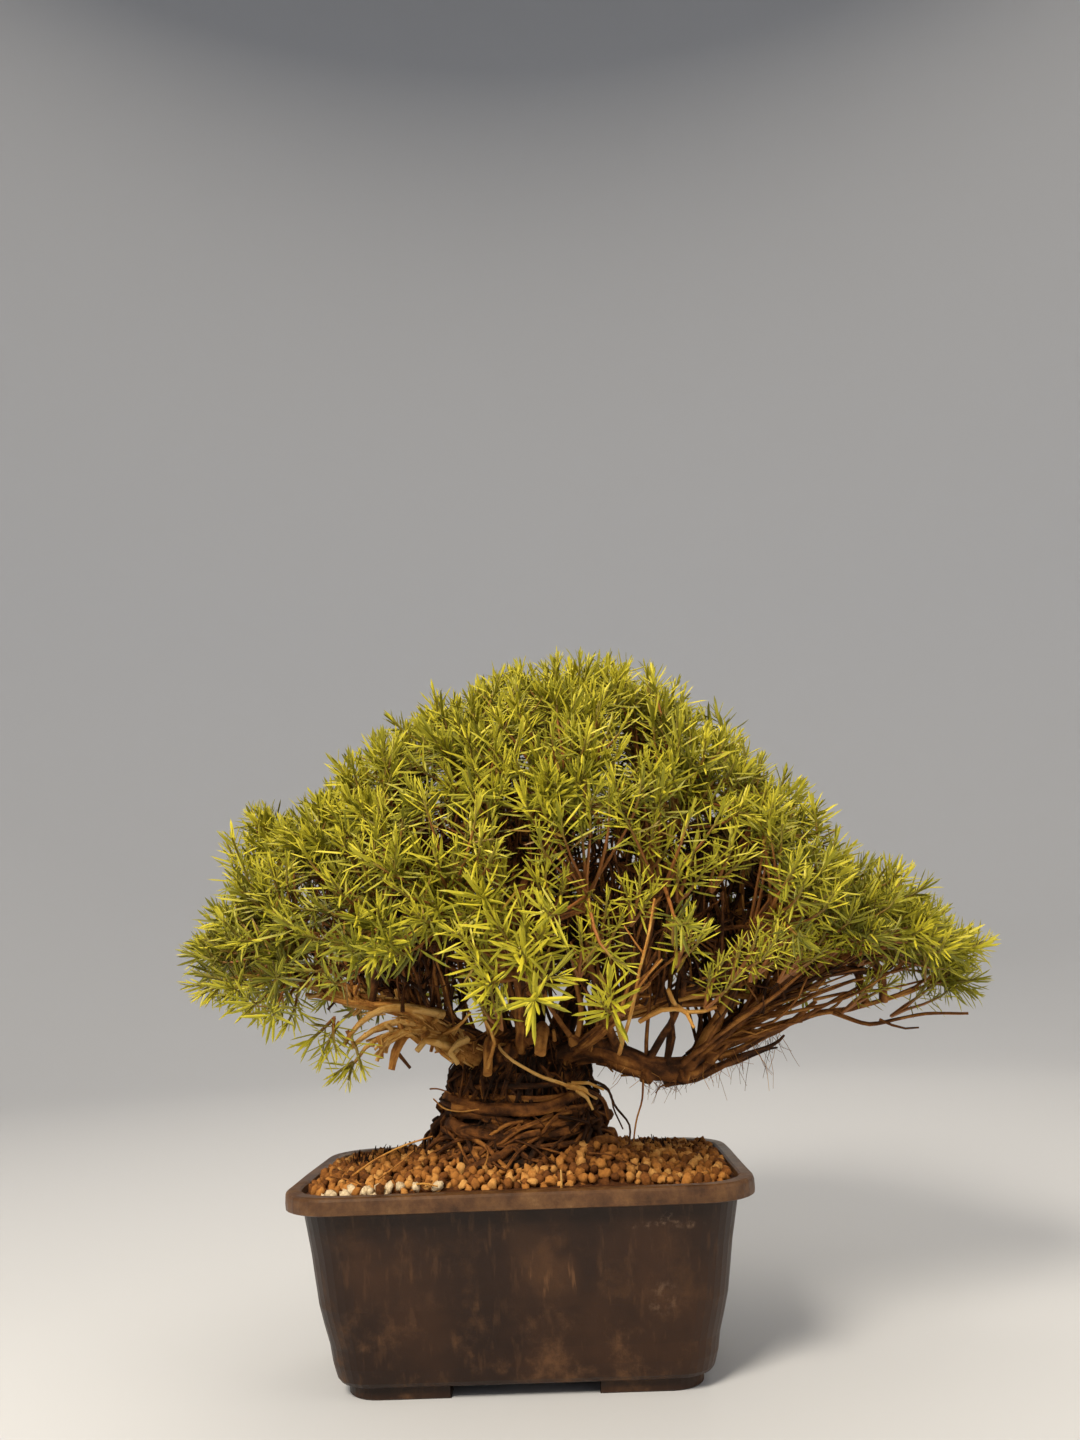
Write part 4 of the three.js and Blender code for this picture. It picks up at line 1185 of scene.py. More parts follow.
# Peeling strips of bark, pale at the left and brown at the right: limb, how many, tones.
STRIPS = [("leftTop", 60, 0.6, 1.1), ("leftLow", 20, 0.65, 1.1), ("rightLow", 34, 0.3, 0.75),
          ("frontRight", 6, 0.4, 0.7), ("front", 6, 0.3, 0.6), ("leftBack", 8, 0.3, 0.6)]
for name, count, low, high in STRIPS:
    girth = LIMBS[name][0]
    for _ in range(count):
        t = uniform(0.05, 0.62)
        tangent = LIMB_ROUTES[name].tangent(t)
        out = stray(1).cross(tangent).normalized()
        radius = lerp(girth[0], girth[1], t)
        along = tangent * uniform(4, 9) * choice((-1, 1))
        start = LIMB_ROUTES[name].at(t) + out * 0.85 * radius
        middle = start + along * 0.6 + out * uniform(0, 0.25) * radius
        end = start + along + out * uniform(0.1, 0.8) * radius
        thick = uniform(0.35, 0.95)
        shade = uniform(low, high)
        wood.add_route([start, middle, end], (thick, 0.5 * thick), shade, 1.2, 2.5)
for spray in sprays:
    if spray["twig"]:
        wood.add_route(spray["twig"], (2.2, 1.3), (0.4, 0.45), 0.8, 5)
        stem = Route([spray["base"], spray["base"] + spray["direction"] * STEM])
        wood.add_route(stem, (1.2, 0.5), 0.45)
# Dark ragged wood under the bend of the right limb.
wood.add_table([
    ([(66, -23, 118), (84, -19, 121), (102, -15, 127), (117, -11, 131), (125, -8, 136)], (2.6, 0.5), 0.3),
    ([(84, -17, 122), (100, -13, 125), (116, -10, 130), (122, -8, 130)], (1.8, 0.4), 0.2),
    ([(92, -16, 127), (110, -12, 133), (128, -9, 141), (142, -6, 150)], (1.8, 1.0), 0.4)], 1.6, 3)
limbs = limb_recipe.apply(wood.piece("limbs"), Sides=13, Step=0.0036, Bark_depth=1.1, Stretch=55)
print("limb routes:", wood.chains, "triangles:", triangles(limbs))

# %% [markdown]
# Inside the crown hundreds of bare twigs, dead or leafless, make the dark tangle under the
# leaves. Some start on a limb and end under the leafy shell, others only cross the space between.
# Finer still are the hairy rootlets under the right limb. All are drawn by a seeded rule, and the
# few that catch the eye in the photo are placed one by one.

# %% Bare twigs and rootlets
UPRIGHTS, TANGLE, CROSSING, CORE, RISING, HAIRS = 48, 420, 380, 300, 46, 130
random.seed(7)
twigs = Bundle()


def wander(start, end, bend):
    """A route from one point to another that strays by chance in the middle."""
    middle = start.lerp(end, uniform(0.35, 0.6)) + stray(bend)
    late = start.lerp(end, 0.8) + Vector([uniform(-0.5, 0.5) * bend for _ in range(3)])
    return Route([start, middle, late, end])


def cross_twig(middle, leans, lengths, girths, taper, tones, bend):
    """A short twig through a place, its direction, length, thickness and tone by chance."""
    way = Vector([uniform(*limits) for limits in leans]).normalized()
    half = way * uniform(*lengths)
    thick = uniform(*girths)
    tone = uniform(*tones)
    twigs.add_route(wander(middle - half, middle + half, bend), (thick, taper * thick), tone, 2.0, 7)


limb_names = [name for name in LIMBS if LIMBS[name][0][0] > 3.5]
for _ in range(TANGLE):
    name = choice(limb_names)
    start = LIMB_ROUTES[name].at(uniform(0.45 if name == "rightLow" else 0.2, 0.95))
    toward = crown_point(start.x * 1.2 + uniform(-45, 45), uniform(0.25, pi - 0.25))
    end = start.lerp(toward, uniform(0.35, 0.72))
    thick = uniform(0.6, 1.2)
    tone = uniform(0.18, 0.55)
    twigs.add_route(wander(start, end, 7), (thick, 0.5 * thick), (tone, tone + 0.08), 1.5, 6)
    if random.random() < 0.6:
        fork = start.lerp(end, uniform(0.4, 0.8))
        fork_end = fork + (end - fork).lerp(Vector((0, 0, 18)), 0.5) + stray(14)
        fork_tone = (tone + 0.05, tone + 0.1)
        twigs.add_route(wander(fork, fork_end, 3), (0.6 * thick, 0.35), fork_tone, 1.0, 6)
for _ in range(CROSSING):
    middle = crown_point(uniform(-110, 165), uniform(0.35, pi - 0.35))
    middle = Vector((0.8 * middle.x, 0.6 * middle.y + 8, lerp(158, middle.z - 12, uniform(0.0, 0.85))))
    cross_twig(middle, ((-1, 1), (-1, 1), (-0.4, 0.9)), (9, 19), (0.5, 1.1), 0.5, (0.1, 0.45), 6)
# Twigs deep in the crown, painted near black as the shade there, which keep the backdrop from showing
# through.
for _ in range(CORE):
    middle = Vector((uniform(-60, 135), uniform(-30, 60), uniform(165, 250)))
    middle.z = min(middle.z, crown_point(middle.x, pi / 2).z - 38)
    cross_twig(middle, ((-1, 1), (-0.6, 0.6), (-1, 1)), (12, 22), (0.7, 1.5), 0.6, (0.0, 0.25), 7)
# Thin brown twigs that rise from the right limbs.
for _ in range(RISING):
    name = choice(("rightLow", "rightLow", "rightFar", "rightCross", "rightBack"))
    start = LIMB_ROUTES[name].at(uniform(0.5, 1.0) if name == "rightLow" else uniform(0.1, 1.0))
    reach = uniform(16, 38)
    end = start + Vector((reach, uniform(-0.8, 0.3) * reach, reach * uniform(0.2, 0.9)))
    end.x = min(end.x, 206)
    thick = uniform(0.6, 1.2)
    tone = uniform(0.4, 0.75)
    twigs.add_route(wander(start, end, 4), (thick, 0.4 * thick), tone, 1.6, 5)
for k in range(UPRIGHTS):
    x = lerp(-30, 150, (k // 3 * 3 + 1.5) / UPRIGHTS) + uniform(-3, 3)
    route = LIMB_ROUTES["rightLow" if x > 20 else "leaderLeft" if x < 0 else "front"]
    start = min((route.at(i / 40) for i in range(41)), key=lambda p: abs(p.x - x) + 0.3 * abs(p.z - 140))
    lean = 0.28 * max(x - 20, 0) + uniform(-22, 22)
    over = crown_point(x + lean, pi / 2).z
    end = Vector((x + lean, uniform(-80, -5), uniform(168, min(232, over - 22))))
    end.y *= min(1.0, (over - 150) / 90)
    thick = choice((0.8, 1.1, 1.5, 2.0, 2.4))
    tone = uniform(0.12, 0.6)
    twigs.add_route(wander(start, end, 9), (thick, 0.45 * thick), (tone, tone + 0.05), 2.0, 6)
    fork = start.lerp(end, uniform(0.3, 0.6))
    fork_end = fork + Vector((uniform(-16, 18), uniform(-16, 8), uniform(12, 30)))
    twigs.add_route(wander(fork, fork_end, 4), (0.6 * thick, 0.35), (tone, tone + 0.1), 1.5, 6)
# Twigs placed one by one, each as points, thickness and tone: the long one in front, the crossing
# broken stubs, the golden arcs and stubs at the left, the frayed end of the pale root, and the bare
# twigs at the right.
BARE_TWIGS = [
    ([(44, -70, 134), (46, -84, 143), (50, -94, 156), (52, -102, 167), (56, -108, 181), (59, -110, 194)],
     (0.95, 0.5), 0.82),
    ([(51, -98, 160), (57, -101, 167), (61, -102, 171)], (0.6, 0.4), 0.8),
    ([(54, -104, 173), (49, -106, 180), (47, -106, 184)], (0.5, 0.3), 0.75),
    ([(70, -30, 152), (72, -50, 151), (69, -60, 152), (66, -66, 159)], (1.7, 1.0), 0.78),
    ([(54, -56, 146), (62, -62, 150), (70, -60, 151), (78, -64, 149), (86, -66, 151)], (1.1, 0.8), 0.8),
    ([(70, -58, 152), (74, -64, 148), (76, -66, 143)], (1.3, 0.9), 0.85),
    ([(72, -50, 154), (82, -54, 156), (90, -56, 156)], (0.9, 0.6), 0.85),
    ([(-33, -26, 151), (-48, -34, 155), (-61, -40, 154), (-70, -44, 148), (-75, -46, 140)], (2.2, 1.0), 0.95),
    ([(-39, -26, 144), (-51, -34, 149), (-63, -40, 146), (-72, -44, 139)], (2.0, 1.0), 1.0),
    ([(-44, -30, 140), (-50, -36, 145), (-57, -40, 141), (-61, -42, 133)], (1.7, 0.9), 0.95),
    ([(-28, -26, 135), (-34, -34, 139), (-41, -36, 141), (-44, -38, 136)], (2.4, 1.3), 1.0),
    ([(-22, -28, 140), (-30, -35, 136), (-26, -38, 130)], (1.8, 1.1), 1.05),
    ([(22, -34, 119), (28, -36, 118), (35, -34, 113)], (1.5, 0.8), 0.95),
    ([(26, -35, 117), (31, -37, 114), (33, -37, 109)], (1.1, 0.6), 1.05),
    ([(24, -34, 120), (31, -36, 120), (38, -34, 117)], (0.9, 0.5), 0.9),
    ([(26, -20, 137), (20, -30, 146), (14, -36, 156), (12, -40, 168)], (1.8, 1.2), 0.55),
    ([(28, -24, 140), (30, -34, 152), (27, -42, 166)], (1.6, 1.1), 0.62),
    ([(-13, -38, 128), (-9, -42, 140), (-14, -44, 150)], (1.2, 0.8), 0.75),
    ([(-36, -24, 141), (-26, -32, 146), (-20, -38, 152)], (1.1, 0.7), 0.8),
    ([(-54, -36, 137), (-49, -38, 131), (-47, -38, 129)], (1.0, 0.7), 0.3),
    ([(-38, -26, 139), (-33, -32, 134), (-28, -36, 131)], (1.3, 0.9), 0.85),
    ([(170, -8, 141), (178, -12, 137), (186, -14, 137)], (0.7, 0.4), 0.35),
    ([(88, -19, 133), (108, -16, 141), (132, -12, 150), (156, -8, 158), (182, -4, 163)], (1.5, 0.6), 0.5),
    ([(94, -18, 134), (120, -20, 139), (140, -22, 148), (160, -26, 158), (172, -30, 168)], (1.2, 0.5), 0.45),
    ([(82, -22, 128), (102, -22, 142), (122, -26, 156), (146, -34, 168)], (1.6, 0.7), 0.4),
    ([(116, -14, 144), (130, -22, 147), (150, -30, 152), (168, -38, 162)], (0.9, 0.4), 0.55),
    ([(140, -8, 151), (160, -2, 154), (182, 2, 155), (204, 0, 160)], (0.8, 0.4), 0.5),
    ([(74, -28, 126), (90, -34, 138), (112, -40, 152), (130, -48, 166)], (1.4, 0.6), 0.5),
]
twigs.add_table(BARE_TWIGS, 0.5, 4)
low_limb = LIMB_ROUTES["rightLow"]
far_limb = LIMB_ROUTES["rightFar"]
for k in range(HAIRS):
    source = low_limb.at(uniform(0.2, 0.62)) if k % 3 else far_limb.at(uniform(0.0, 0.35))
    start = source + Vector((uniform(-3, 3), uniform(-4, 4), uniform(-5, -1)))
    drop = uniform(3, 11) if k % 9 else uniform(12, 22)
    end = start + Vector((uniform(-9, 9), uniform(-8, 8), -drop))
    end.z = max(end.z, soil_height(end.x, end.y))
    twigs.add_route(wander(start, end, 3), (0.14, 0.08), uniform(0.3, 0.8), 0.5, 4)
bare_twigs = limb_recipe.apply(twigs.piece("bare_twigs"), Sides=4, Step=0.0055, Bark_depth=0.3)
print("twigs:", twigs.chains, "triangles:", triangles(bare_twigs))

for piece in (trunk, wound_roots, limbs, bare_twigs):
    finished(piece, "wood", "trunk_and_roots")

# %% [markdown]
# A rosemary leaf is a needle about fourteen millimetres long and one and a half wide, with a
# ridge along its upper face. It sits in pairs on the shoot, each pair turned a quarter from the
# last, and near the tip the pairs close up into a star. Four needles of different bend are
# modelled with nine faces each, and the recipe sets them along every shoot.

# %% Needles
NEEDLE_LENGTH, NEEDLE_HALF_WIDTH = 13.5, 0.68
# Stations of a needle: share of its length and share of its half width.
NEEDLE_STATIONS = [(0.3, 1.0), (0.8, 0.85)]


def needle(name, bend):
    """One needle along +Z, its upper face towards -X, bent by so many millimetres."""
    points, edge, rise = [Vector((0, 0, 0))], [0.5], [0.0]
    for share, width in NEEDLE_STATIONS:
        z = share * NEEDLE_LENGTH
        for side, lift in ((-1, 0), (1, 0), (0, -0.75)):
            x = bend * share ** 2 + lift * width * NEEDLE_HALF_WIDTH
            points.append(Vector((x, side * width * NEEDLE_HALF_WIDTH, z)))
            edge.append(float(abs(side)))
            rise.append(share)
    points.append(Vector((bend, 0, NEEDLE_LENGTH)))
    edge.append(0.6)
    rise.append(1.0)
    faces = [(0, 1 + i, 1 + (i + 1) % 3) for i in range(3)]
    last = 1 + 3 * (len(NEEDLE_STATIONS) - 1)
    for a in range(1, last, 3):
        faces.extend((a + i, a + 3 + i, a + 3 + (i + 1) % 3, a + (i + 1) % 3) for i in range(3))
    faces.extend((last + i, len(points) - 1, last + (i + 1) % 3) for i in range(3))
    mesh = bpy.data.meshes.new(name)
    mesh.from_pydata([MM * p for p in points], [], faces)
    for key, values in (("edge", edge), ("rise", rise)):
        mesh.attributes.new(key, "FLOAT", "POINT").data.foreach_set("value", values)
    part = bpy.data.objects.new(name, mesh)
    tidy_normals(part)
    return part


needle_kit = kit("needles", [needle(f"needle {k}", bend) for k, bend in enumerate((-2.6, -1.2, 0.5, 2.2))])

leafy = Finish("needles and shoots", roughness=0.5, specular_ior_level=0.3)
leaf_tone = leafy.painted("tone")
fresh = leafy.painted("fresh")
age = leafy.painted("age")
rim = leafy.painted("edge")
rise = leafy.painted("rise")
# A needle's lightness: its own random tone and how fresh it is, with painted shade for shoots set deep in the
# crown, less its age.
light_share = (leaf_tone * 0.55 + fresh * 0.78 - age * 0.55).held()
leaf_colour = leafy.ramp(light_share, [
    (0.0, (0.033, 0.034, 0.003)), (0.3, (0.112, 0.116, 0.005)), (0.62, (0.245, 0.238, 0.01)),
    (1.0, (0.52, 0.47, 0.026))])
leaf_colour = leafy.blend(rim * 0.18, leaf_colour, (0.48, 0.48, 0.09))
leaf_colour = leafy.blend((rise.step(0.3, 0.0) * 0.4).held(), leaf_colour, (0.36, 0.35, 0.06))
withered = ((age * 1.4 - leaf_tone).step(0.5, 0.8) * 0.7 + fresh.step(0.22, 0.0) * 0.6).held()
leaf_colour = leafy.blend(withered, leaf_colour, (0.24, 0.12, 0.025))
shoot_colour = leafy.ramp(leaf_tone + (leafy.mottle(400, 3) - 0.5) * 0.5 - age * 0.25, [
    (0.0, (0.07, 0.025, 0.009)), (0.4, (0.25, 0.092, 0.024)), (1.0, (0.48, 0.22, 0.06))])
young = leafy.painted("distance").step(0.018, 0.005) * 0.85
shoot_colour = leafy.blend(young, shoot_colour, (0.2, 0.19, 0.03))
leafy.feed("Base Color", leafy.blend(leafy.painted("woody"), leaf_colour, shoot_colour))

# %% The recipe for leafy shoots
shoot_recipe = Recipe("leafy shoots", Needle_step=0.0017, Stem_step=0.008, Stem_sides=3, Leafy_length=0.0175,
                      Tip_tilt=0.34, Base_tilt=1.25, Seed=1)
shoot_curve = shoot_recipe.put("GeometryNodeMeshToCurve", {0: shoot_recipe.source})
stem_curve = shoot_recipe.resampled(shoot_curve, shoot_recipe["Stem_step"])
stems = shoot_recipe.tube(stem_curve, shoot_recipe.hoop(shoot_recipe["Stem_sides"]))
stems = shoot_recipe.paint(stems, "woody", 1.0)
stems = shoot_recipe.paint(stems, "tone", 0.5)

steps = {"Curve": shoot_curve, "Length": shoot_recipe["Needle_step"]}
joints = shoot_recipe.put("GeometryNodeCurveToPoints", steps, mode="LENGTH")
numbered = shoot_recipe.paint(joints, "joint", shoot_recipe.put("GeometryNodeInputIndex"))
along_shoot = {"Vector": joints.also("Tangent")}
upright = shoot_recipe.put("FunctionNodeAlignRotationToVector", along_shoot, axis="Z")
doubled = {"Geometry": numbered, "Amount": 2}
pairs = shoot_recipe.put("GeometryNodeDuplicateElements", doubled, domain="POINT")
which = pairs.also("Duplicate Index")
seed = shoot_recipe["Seed"]
distance = shoot_recipe.painted("distance")
turn_round = shoot_recipe.painted("joint") * (pi / 2) + which * pi
turn_round = turn_round + shoot_recipe.draw(-0.4, 0.4, seed)
opening = distance.step(0.0, 0.014)
tilt = shoot_recipe["Tip_tilt"] + (shoot_recipe["Base_tilt"] - shoot_recipe["Tip_tilt"]) * opening
tilt = tilt + shoot_recipe.draw(-0.3, 0.3, seed + 1)
size = (0.5 + 0.5 * distance.step(0.0, 0.007)) * shoot_recipe.draw(0.74, 1.14, seed + 2)
size = size * shoot_recipe.painted("plump")


def turned_about(rotation, axis, angle):
    """A rotation followed by a turn about one of its own axes."""
    step_turn = shoot_recipe.put("FunctionNodeAxisAngleToRotation", {"Axis": axis, "Angle": angle})
    turns = {0: rotation, 1: step_turn}
    return shoot_recipe.put("FunctionNodeRotateRotation", turns, rotation_space="LOCAL")


pose = turned_about(turned_about(upright, (0, 0, 1), turn_round), (0, 1, 0), tilt)
leafy_part = distance < shoot_recipe["Leafy_length"]
needles = shoot_recipe.lay(pairs, needle_kit, seed + 3, Selection=leafy_part, Rotation=pose, Scale=size)
needle_tone = shoot_recipe.draw(0.0, 1.0, seed + 4)
for name, value in (("tone", needle_tone), ("age", distance.step(0.003, 0.026)), ("woody", 0.0)):
    needles = shoot_recipe.paint(needles, name, value, "INSTANCE")
shoot_recipe.end(shoot_recipe.join(stems, needles), leafy.material)
print("shoot recipe ready")

# %% [markdown]
# Each spray now gets some sixty shoots. They leave its stem at different places, bow out, turn
# up at their tips, and end on the spray's own patch of the crown, some short of it, so that the
# leafy shell is deep and soft. In the open middle of the front nearly all of them are missing,
# and small tufts and a few bright stars of needles stand there by themselves.

# %% Shoots of every spray
GRID_ALONG, GRID_ROUND = 10, 6
# Tips gather a little round a few hubs, so that tufts stand out with darker gaps between them.
HUBS, GATHERING = 14, 0.28
TIP_MARGIN = Vector((9, 9, 9))
box_low = (Vector(cad_box[0]) - POT_FOOT) / MM + TIP_MARGIN
box_high = (Vector(cad_box[1]) - POT_FOOT) / MM - TIP_MARGIN
# How far the leaves rise above the planned crown or stay below it: x and millimetres.
LEAF_LIFT = [(-170, 0), (-152, -5), (-141, -2), (-136, 18), (-129, 19), (-121, 8), (-110, -8), (-90, -11),
             (-70, -9), (-50, -3), (0, 2), (30, 0), (60, -1), (76, -5), (92, -6), (105, -5), (116, -15),
             (126, -9), (136, 2), (143, -14), (149, -33), (158, -25), (165, 0), (176, 5), (184, -4),
             (189, -12), (197, -2), (206, -24), (216, -8), (224, 2)]
# The same for the lower edge of the crown.
EDGE_LIFT = [(-170, 14), (-150, 14), (-140, 8), (-125, 8), (-110, 9), (-100, 7), (-80, 3), (150, 3), (165, 9),
             (180, 19), (195, 20), (206, 16), (225, 13)]
OVERLAP = 1.18
# The open middle of the front: nearer than this y, most shoots below a line of x and z are missing,
# and below a floor all of them.
OPENING_Y, OPENING_SHARE, OPENING_FLOOR = -22, 0.95, 162
OPENING = [(-96, 150), (-84, 158), (-70, 166), (-49, 173), (-38, 177), (-30, 192), (-16, 208), (10, 220),
           (45, 228), (92, 224), (118, 203), (142, 186), (170, 174), (200, 163), (224, 150)]
# Shoots that stand by themselves, by spray: start, tip, size of the needles. Bright stars in the
# opening, and the drooping fringe at the low left.
STARS = {
    1: [((-128, -16, 172), (-136, -40, 162), 0.9), ((-124, -14, 172), (-142, -36, 164), 0.9),
        ((-130, -12, 174), (-152, -22, 168), 0.9)],
    3: [((-96, -34, 170), (-98, -56, 149), 0.9), ((-100, -32, 170), (-108, -54, 153), 0.9),
        ((-104, -30, 172), (-116, -52, 156), 0.9), ((-108, -30, 172), (-126, -46, 160), 0.9),
        ((-100, -30, 168), (-104, -44, 153), 0.9)],
    42: [((-71, -45, 133), (-72, -50, 126), 0.85), ((-71, -45, 133), (-79, -50, 128), 0.85),
        ((-74, -44, 146), (-66, -52, 130), 0.85), ((-78, -42, 150), (-84, -52, 134), 0.95),
        ((-80, -42, 152), (-92, -52, 141), 0.95), ((-80, -42, 152), (-76, -56, 138), 0.9)],
    44: [((6, -92, 166), (-11, -115, 202), 1.15), ((6, -92, 166), (-4, -118, 188), 1.15),
        ((8, -92, 164), (6, -118, 177), 1.15), ((8, -92, 160), (12, -118, 158), 1.2),
        ((8, -92, 160), (22, -114, 166), 1.1), ((4, -90, 168), (-20, -114, 184), 1.1),
        ((4, -92, 166), (-8, -116, 164), 1.15), ((6, -90, 170), (6, -112, 196), 1.05),
        ((4, -90, 168), (-14, -112, 174), 1.1), ((6, -90, 168), (16, -112, 184), 1.0)],
    45: [((46, -84, 150), (40, -112, 163), 1.15), ((46, -84, 150), (36, -110, 156), 1.05)],
}
# Tufts in the opening, each of three short shoots, by spray: tip, size of the needles.
TUFTS = {
    18: [((41, -106, 196), 0.85), ((62, -106, 226), 1.0), ((29, -106, 186), 0.75)],
    25: [((54, -106, 206), 0.9), ((77, -104, 215), 1.1), ((94, -98, 219), 1.0), ((74, -102, 189), 0.95),
        ((88, -94, 172), 0.7)],
    31: [((102, -90, 183), 0.8), ((112, -82, 182), 0.85), ((121, -80, 194), 0.95), ((137, -64, 184), 0.95),
        ((128, -72, 181), 0.75)],
    36: [((154, -50, 187), 0.95), ((182, -26, 187), 0.9), ((168, -36, 166), 0.75)],
    40: [((206, -8, 183), 0.9), ((205, -2, 162), 0.75)],
    44: [((-6, -106, 217), 1.0), ((18, -110, 212), 1.05), ((-10, -110, 201), 1.15), ((8, -110, 187), 1.1),
        ((-7, -106, 167), 0.9)],
}


# The three shoots of a tuft, from its tip.
TUFT_SPREAD = ((0, 0, 0), (-7, 3, -5), (6, 5, -7))


def inside(point):
    return Vector([clamp(point[k], box_low[k], box_high[k]) for k in range(3)])


def add_shoot(bundle, start, tip, rising, share_of_freshness_and_shade, plump, thick=0.95):
    """A shoot from its start to its tip, bowed, with its distance from the tip painted on."""
    tip = inside(tip)
    span = (tip - start).length
    outward = (tip - start).normalized()
    sway = stray(0.4)
    last = (outward + sway + Vector((0, 0, rising))).normalized()
    bend = Vector([uniform(-0.09, 0.09) * span for _ in range(3)])
    handles = [start, start + outward * 0.3 * span + bend, tip - last * min(0.4 * span, 18), tip]
    count = max(5, round(span / 5))
    points = []
    for i in range(count + 1):
        t = i / count
        weights = ((1 - t) ** 3, 3 * t * (1 - t) ** 2, 3 * t * t * (1 - t), t ** 3)
        points.append(sum((w * h for w, h in zip(weights, handles)), Vector()))
    runs = [0.0]
    for a, b in zip(points, points[1:]):
        runs.append(runs[-1] + (b - a).length)
    bundle.add(
        points,
        distance=[MM * (runs[-1] - run_so_far) for run_so_far in runs],
        girth=[MM * lerp(thick, 0.5, run_so_far / runs[-1]) for run_so_far in runs],
        fresh=share_of_freshness_and_shade, plump=plump,
    )


def is_open(tip):
    within = OPENING[0][0] < tip.x < OPENING[-1][0] and tip.y < OPENING_Y
    return within and tip.z < between(tip.x, OPENING)


def shoots_of_patch(bundle, spray):
    """Shoots over a spray's patch of the crown."""
    route = spray["twig"]
    heart = spray["base"] + spray["direction"] * STEM
    hubs = []
    for _ in range(HUBS):
        x = spray["centre"].x + OVERLAP * ARCH_STEP * uniform(-0.5, 0.5)
        hubs.append((x, spray["angle"] + OVERLAP * spray["width"] * uniform(-0.5, 0.5)))
    for i in range(GRID_ALONG):
        for j in range(GRID_ROUND):
            x = spray["centre"].x + OVERLAP * ARCH_STEP * ((i + random.random()) / GRID_ALONG - 0.5)
            angle = spray["angle"] + OVERLAP * spray["width"] * ((j + random.random()) / GRID_ROUND - 0.5)
            hub = min(hubs, key=lambda h: abs(h[0] - x) / ARCH_STEP + abs(h[1] - angle) / spray["width"])
            x, angle = lerp(x, hub[0], GATHERING), lerp(angle, hub[1], GATHERING)
            tip = crown_point(x, angle)
            share = sin(clamp(angle, 0, pi))
            tip.z += lerp(between(x, EDGE_LIFT), between(x, LEAF_LIFT), share)
            depth = choice((-5, 0, 0, 2, 4, 8, 13, 20, 30, 44))
            tip = tip + (heart - tip).normalized() * depth
            tip += stray(3)
            if is_open(tip) and (tip.z < OPENING_FLOOR or random.random() < OPENING_SHARE):
                continue
            start = heart.lerp(spray["base"], random.random()) if random.random() < 0.6 else (
                route.at(uniform(0.72, 1.0)))
            # Tips set deeper into the crown get darker needles as painted shade, and so do the lower edges of
            # the crown at the left; the lowest values also turn the needles withered brown.
            fresh_and_shaded = 0.72 - 0.018 * depth - 0.24 * (1 - share) * (x < -60) + uniform(-0.35, 0.3)
            add_shoot(bundle, start, tip, uniform(0.35, 1.2), fresh_and_shaded, uniform(0.74, 1.08))


def shoots_of_end(bundle, spray):
    """Shoots of a spray at the end of a limb, spread round its tip."""
    count = spray["count"]
    heart = spray["base"] + spray["direction"] * 0.5 * STEM
    axis = (spray["centre"] - heart).normalized()
    side = axis.cross(Vector((0.31, -0.87, 0.39))).normalized()
    other = axis.cross(side)
    for k in range(count):
        turn = 2.4 * k
        spread = spray["spread"] * math.sqrt(k / count)
        tip = heart.lerp(spray["centre"], uniform(0.75, 1.0))
        tip += (side * cos(turn) + other * sin(turn)) * spread + Vector((0, 0, 3))
        add_shoot(bundle, heart, tip, 0.15, uniform(0.6, 0.95), uniform(0.95, 1.1))


total, clipped, shoot_count = 0, 0, 0
for number, spray in enumerate(sprays, start=1):
    random.seed(100 + number)
    bundle = Bundle()
    if spray["limb"]:
        shoots_of_end(bundle, spray)
    else:
        shoots_of_patch(bundle, spray)
    for start, tip, plump in STARS.get(number, ()):
        add_shoot(bundle, Vector(start), Vector(tip), 0.0, 1.0, plump, 1.1)
    for tip, plump in TUFTS.get(number, ()):
        tip = Vector(tip)
        foot = tip + Vector((-0.12 * (tip.x - 25), 21, -21))
        for beside in TUFT_SPREAD:
            add_shoot(bundle, foot, tip + Vector(beside), 0.5, 0.95, 0.84 * plump, 1.0)
    piece = shoot_recipe.apply(bundle.piece(f"needles_{number:02d}"), Seed=10 * number)
    clipped += keep_inside(piece)
    shoot_count += bundle.chains
    total += triangles(piece)
    finished(piece, "foliage", f"spray_{number:02d}")
print("shoots:", shoot_count, "triangles:", total, "points held inside the box:", clipped)

# %% [markdown]
# Last come the small things on the soil that tell its age: a pale straw standing at the front
# edge, a few dry stalks beside the trunk, and dark crumbs of moss behind it.

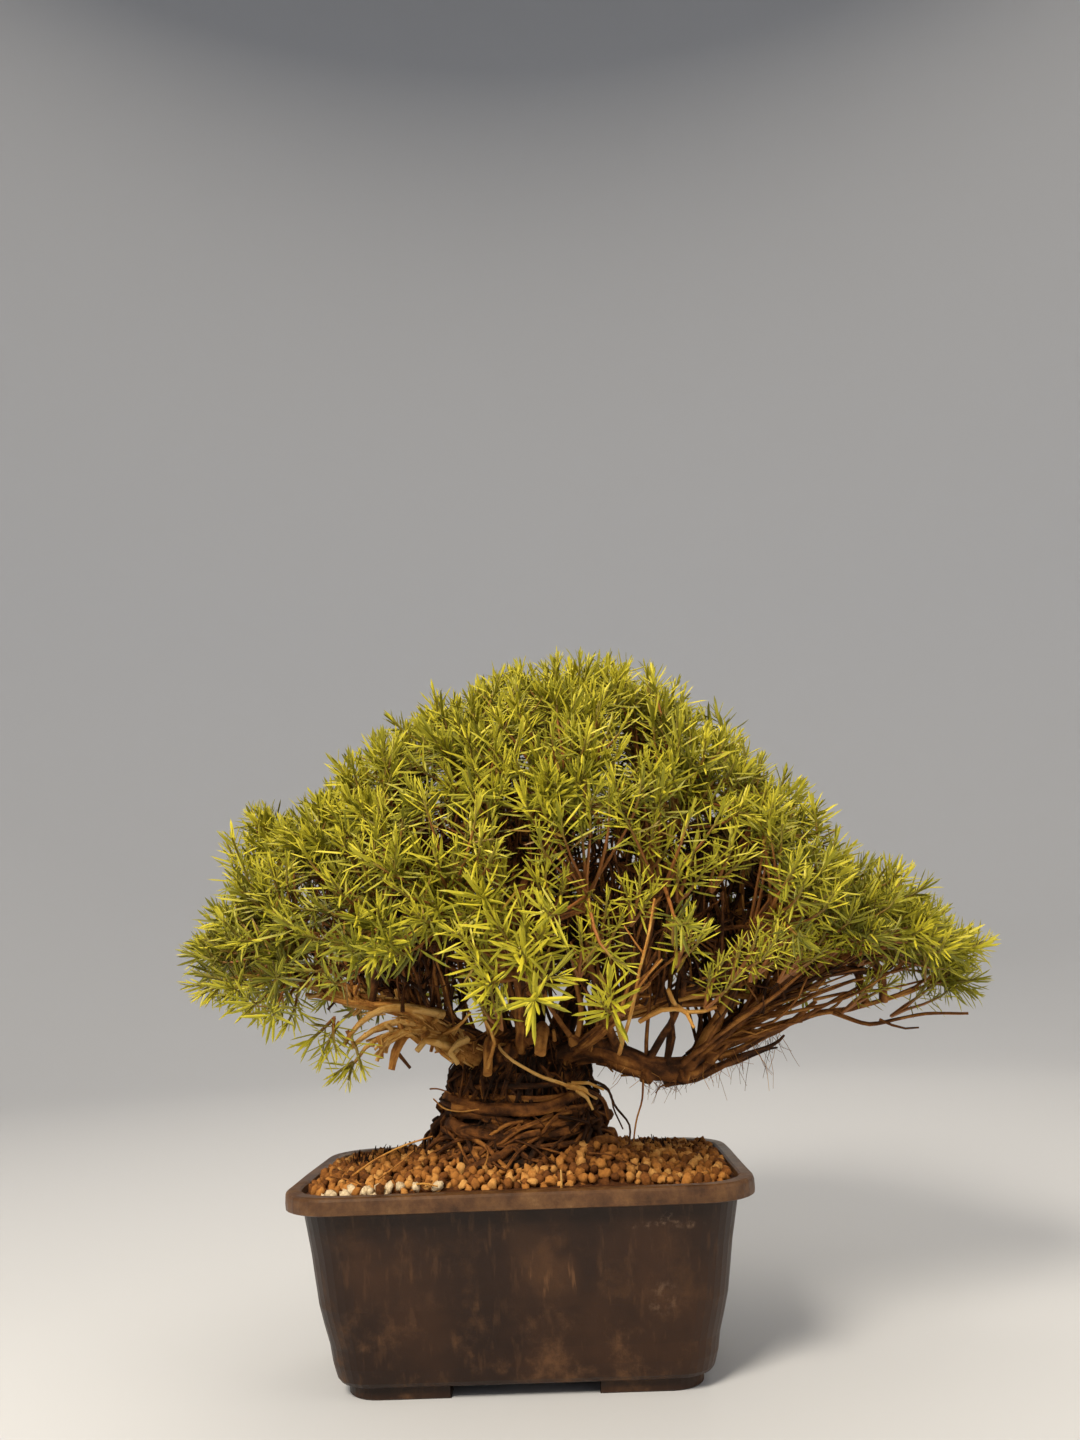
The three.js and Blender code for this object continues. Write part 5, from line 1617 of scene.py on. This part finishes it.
# %% Straws and moss
# Patches of moss, each as limits of x and of y.
MOSS_CRUMBS, MOSS_PATCHES = 150, [((45, 84), (8, 44)), ((-80, 40), (36, 54)), ((-84, -50), (-10, 30))]
random.seed(12)
litter = Bundle()
STRAWS = [
    ([(18, -60, 81), (18.2, -60.5, 85), (18, -61, 89)], (0.55, 0.3), 1.0),
    ([(-72, -40, 86), (-62, -38, 92), (-50, -36, 97), (-38, -34, 100)], (0.5, 0.35), 0.75),
    ([(-60, -46, 85), (-52, -40, 90), (-46, -36, 95)], (0.4, 0.3), 0.6),
    ([(-66, -50, 84), (-74, -46, 86), (-82, -40, 86)], (0.4, 0.3), 0.55),
    ([(-44, -56, 84), (-39, -58, 85), (-33, -59, 84)], (0.45, 0.3), 0.8),
    ([(-14, -52, 90), (-12, -55, 95), (-13, -57, 99)], (0.5, 0.35), 0.6),
    ([(30, -48, 93), (40, -50, 92), (50, -52, 88)], (0.4, 0.3), 0.45),
]
litter.add_table(STRAWS, 0.2, 2.5)
for _ in range(MOSS_CRUMBS):
    x, y = choice([(uniform(*wide), uniform(*deep)) for wide, deep in MOSS_PATCHES])
    start = Vector((x, y, soil_height(x, y) - 1))
    end = start + Vector((uniform(-2.5, 2.5), uniform(-2.5, 2.5), uniform(2, 5.5)))
    litter.add_route(wander(start, end, 0.8), (uniform(0.4, 0.9), 0.2), uniform(0, 0.16), 0.4, 1.8)
straws = limb_recipe.apply(litter.piece("straws_and_moss"), Sides=4, Step=0.002, Bark_depth=0.3)
finished(straws, "wood", "soil")
print("litter:", litter.chains, "triangles:", triangles(straws))

# %% [markdown]
# The finished pieces are not to be larger than the solids, so the points of every spray were held inside
# the solids' box. Last, the small kits are removed and the pieces and their triangles counted.

# %% Tidying and counts
for collection in (granule_kit, needle_kit):
    for part in list(collection.objects):
        bpy.data.objects.remove(part)
    bpy.data.collections.remove(collection)
own_pieces = [o for o in bpy.data.objects if o.type == "MESH" and o is not floor and not o.hide_render]
print("pieces:", len(own_pieces), "triangles in all:", sum(triangles(o) for o in own_pieces))
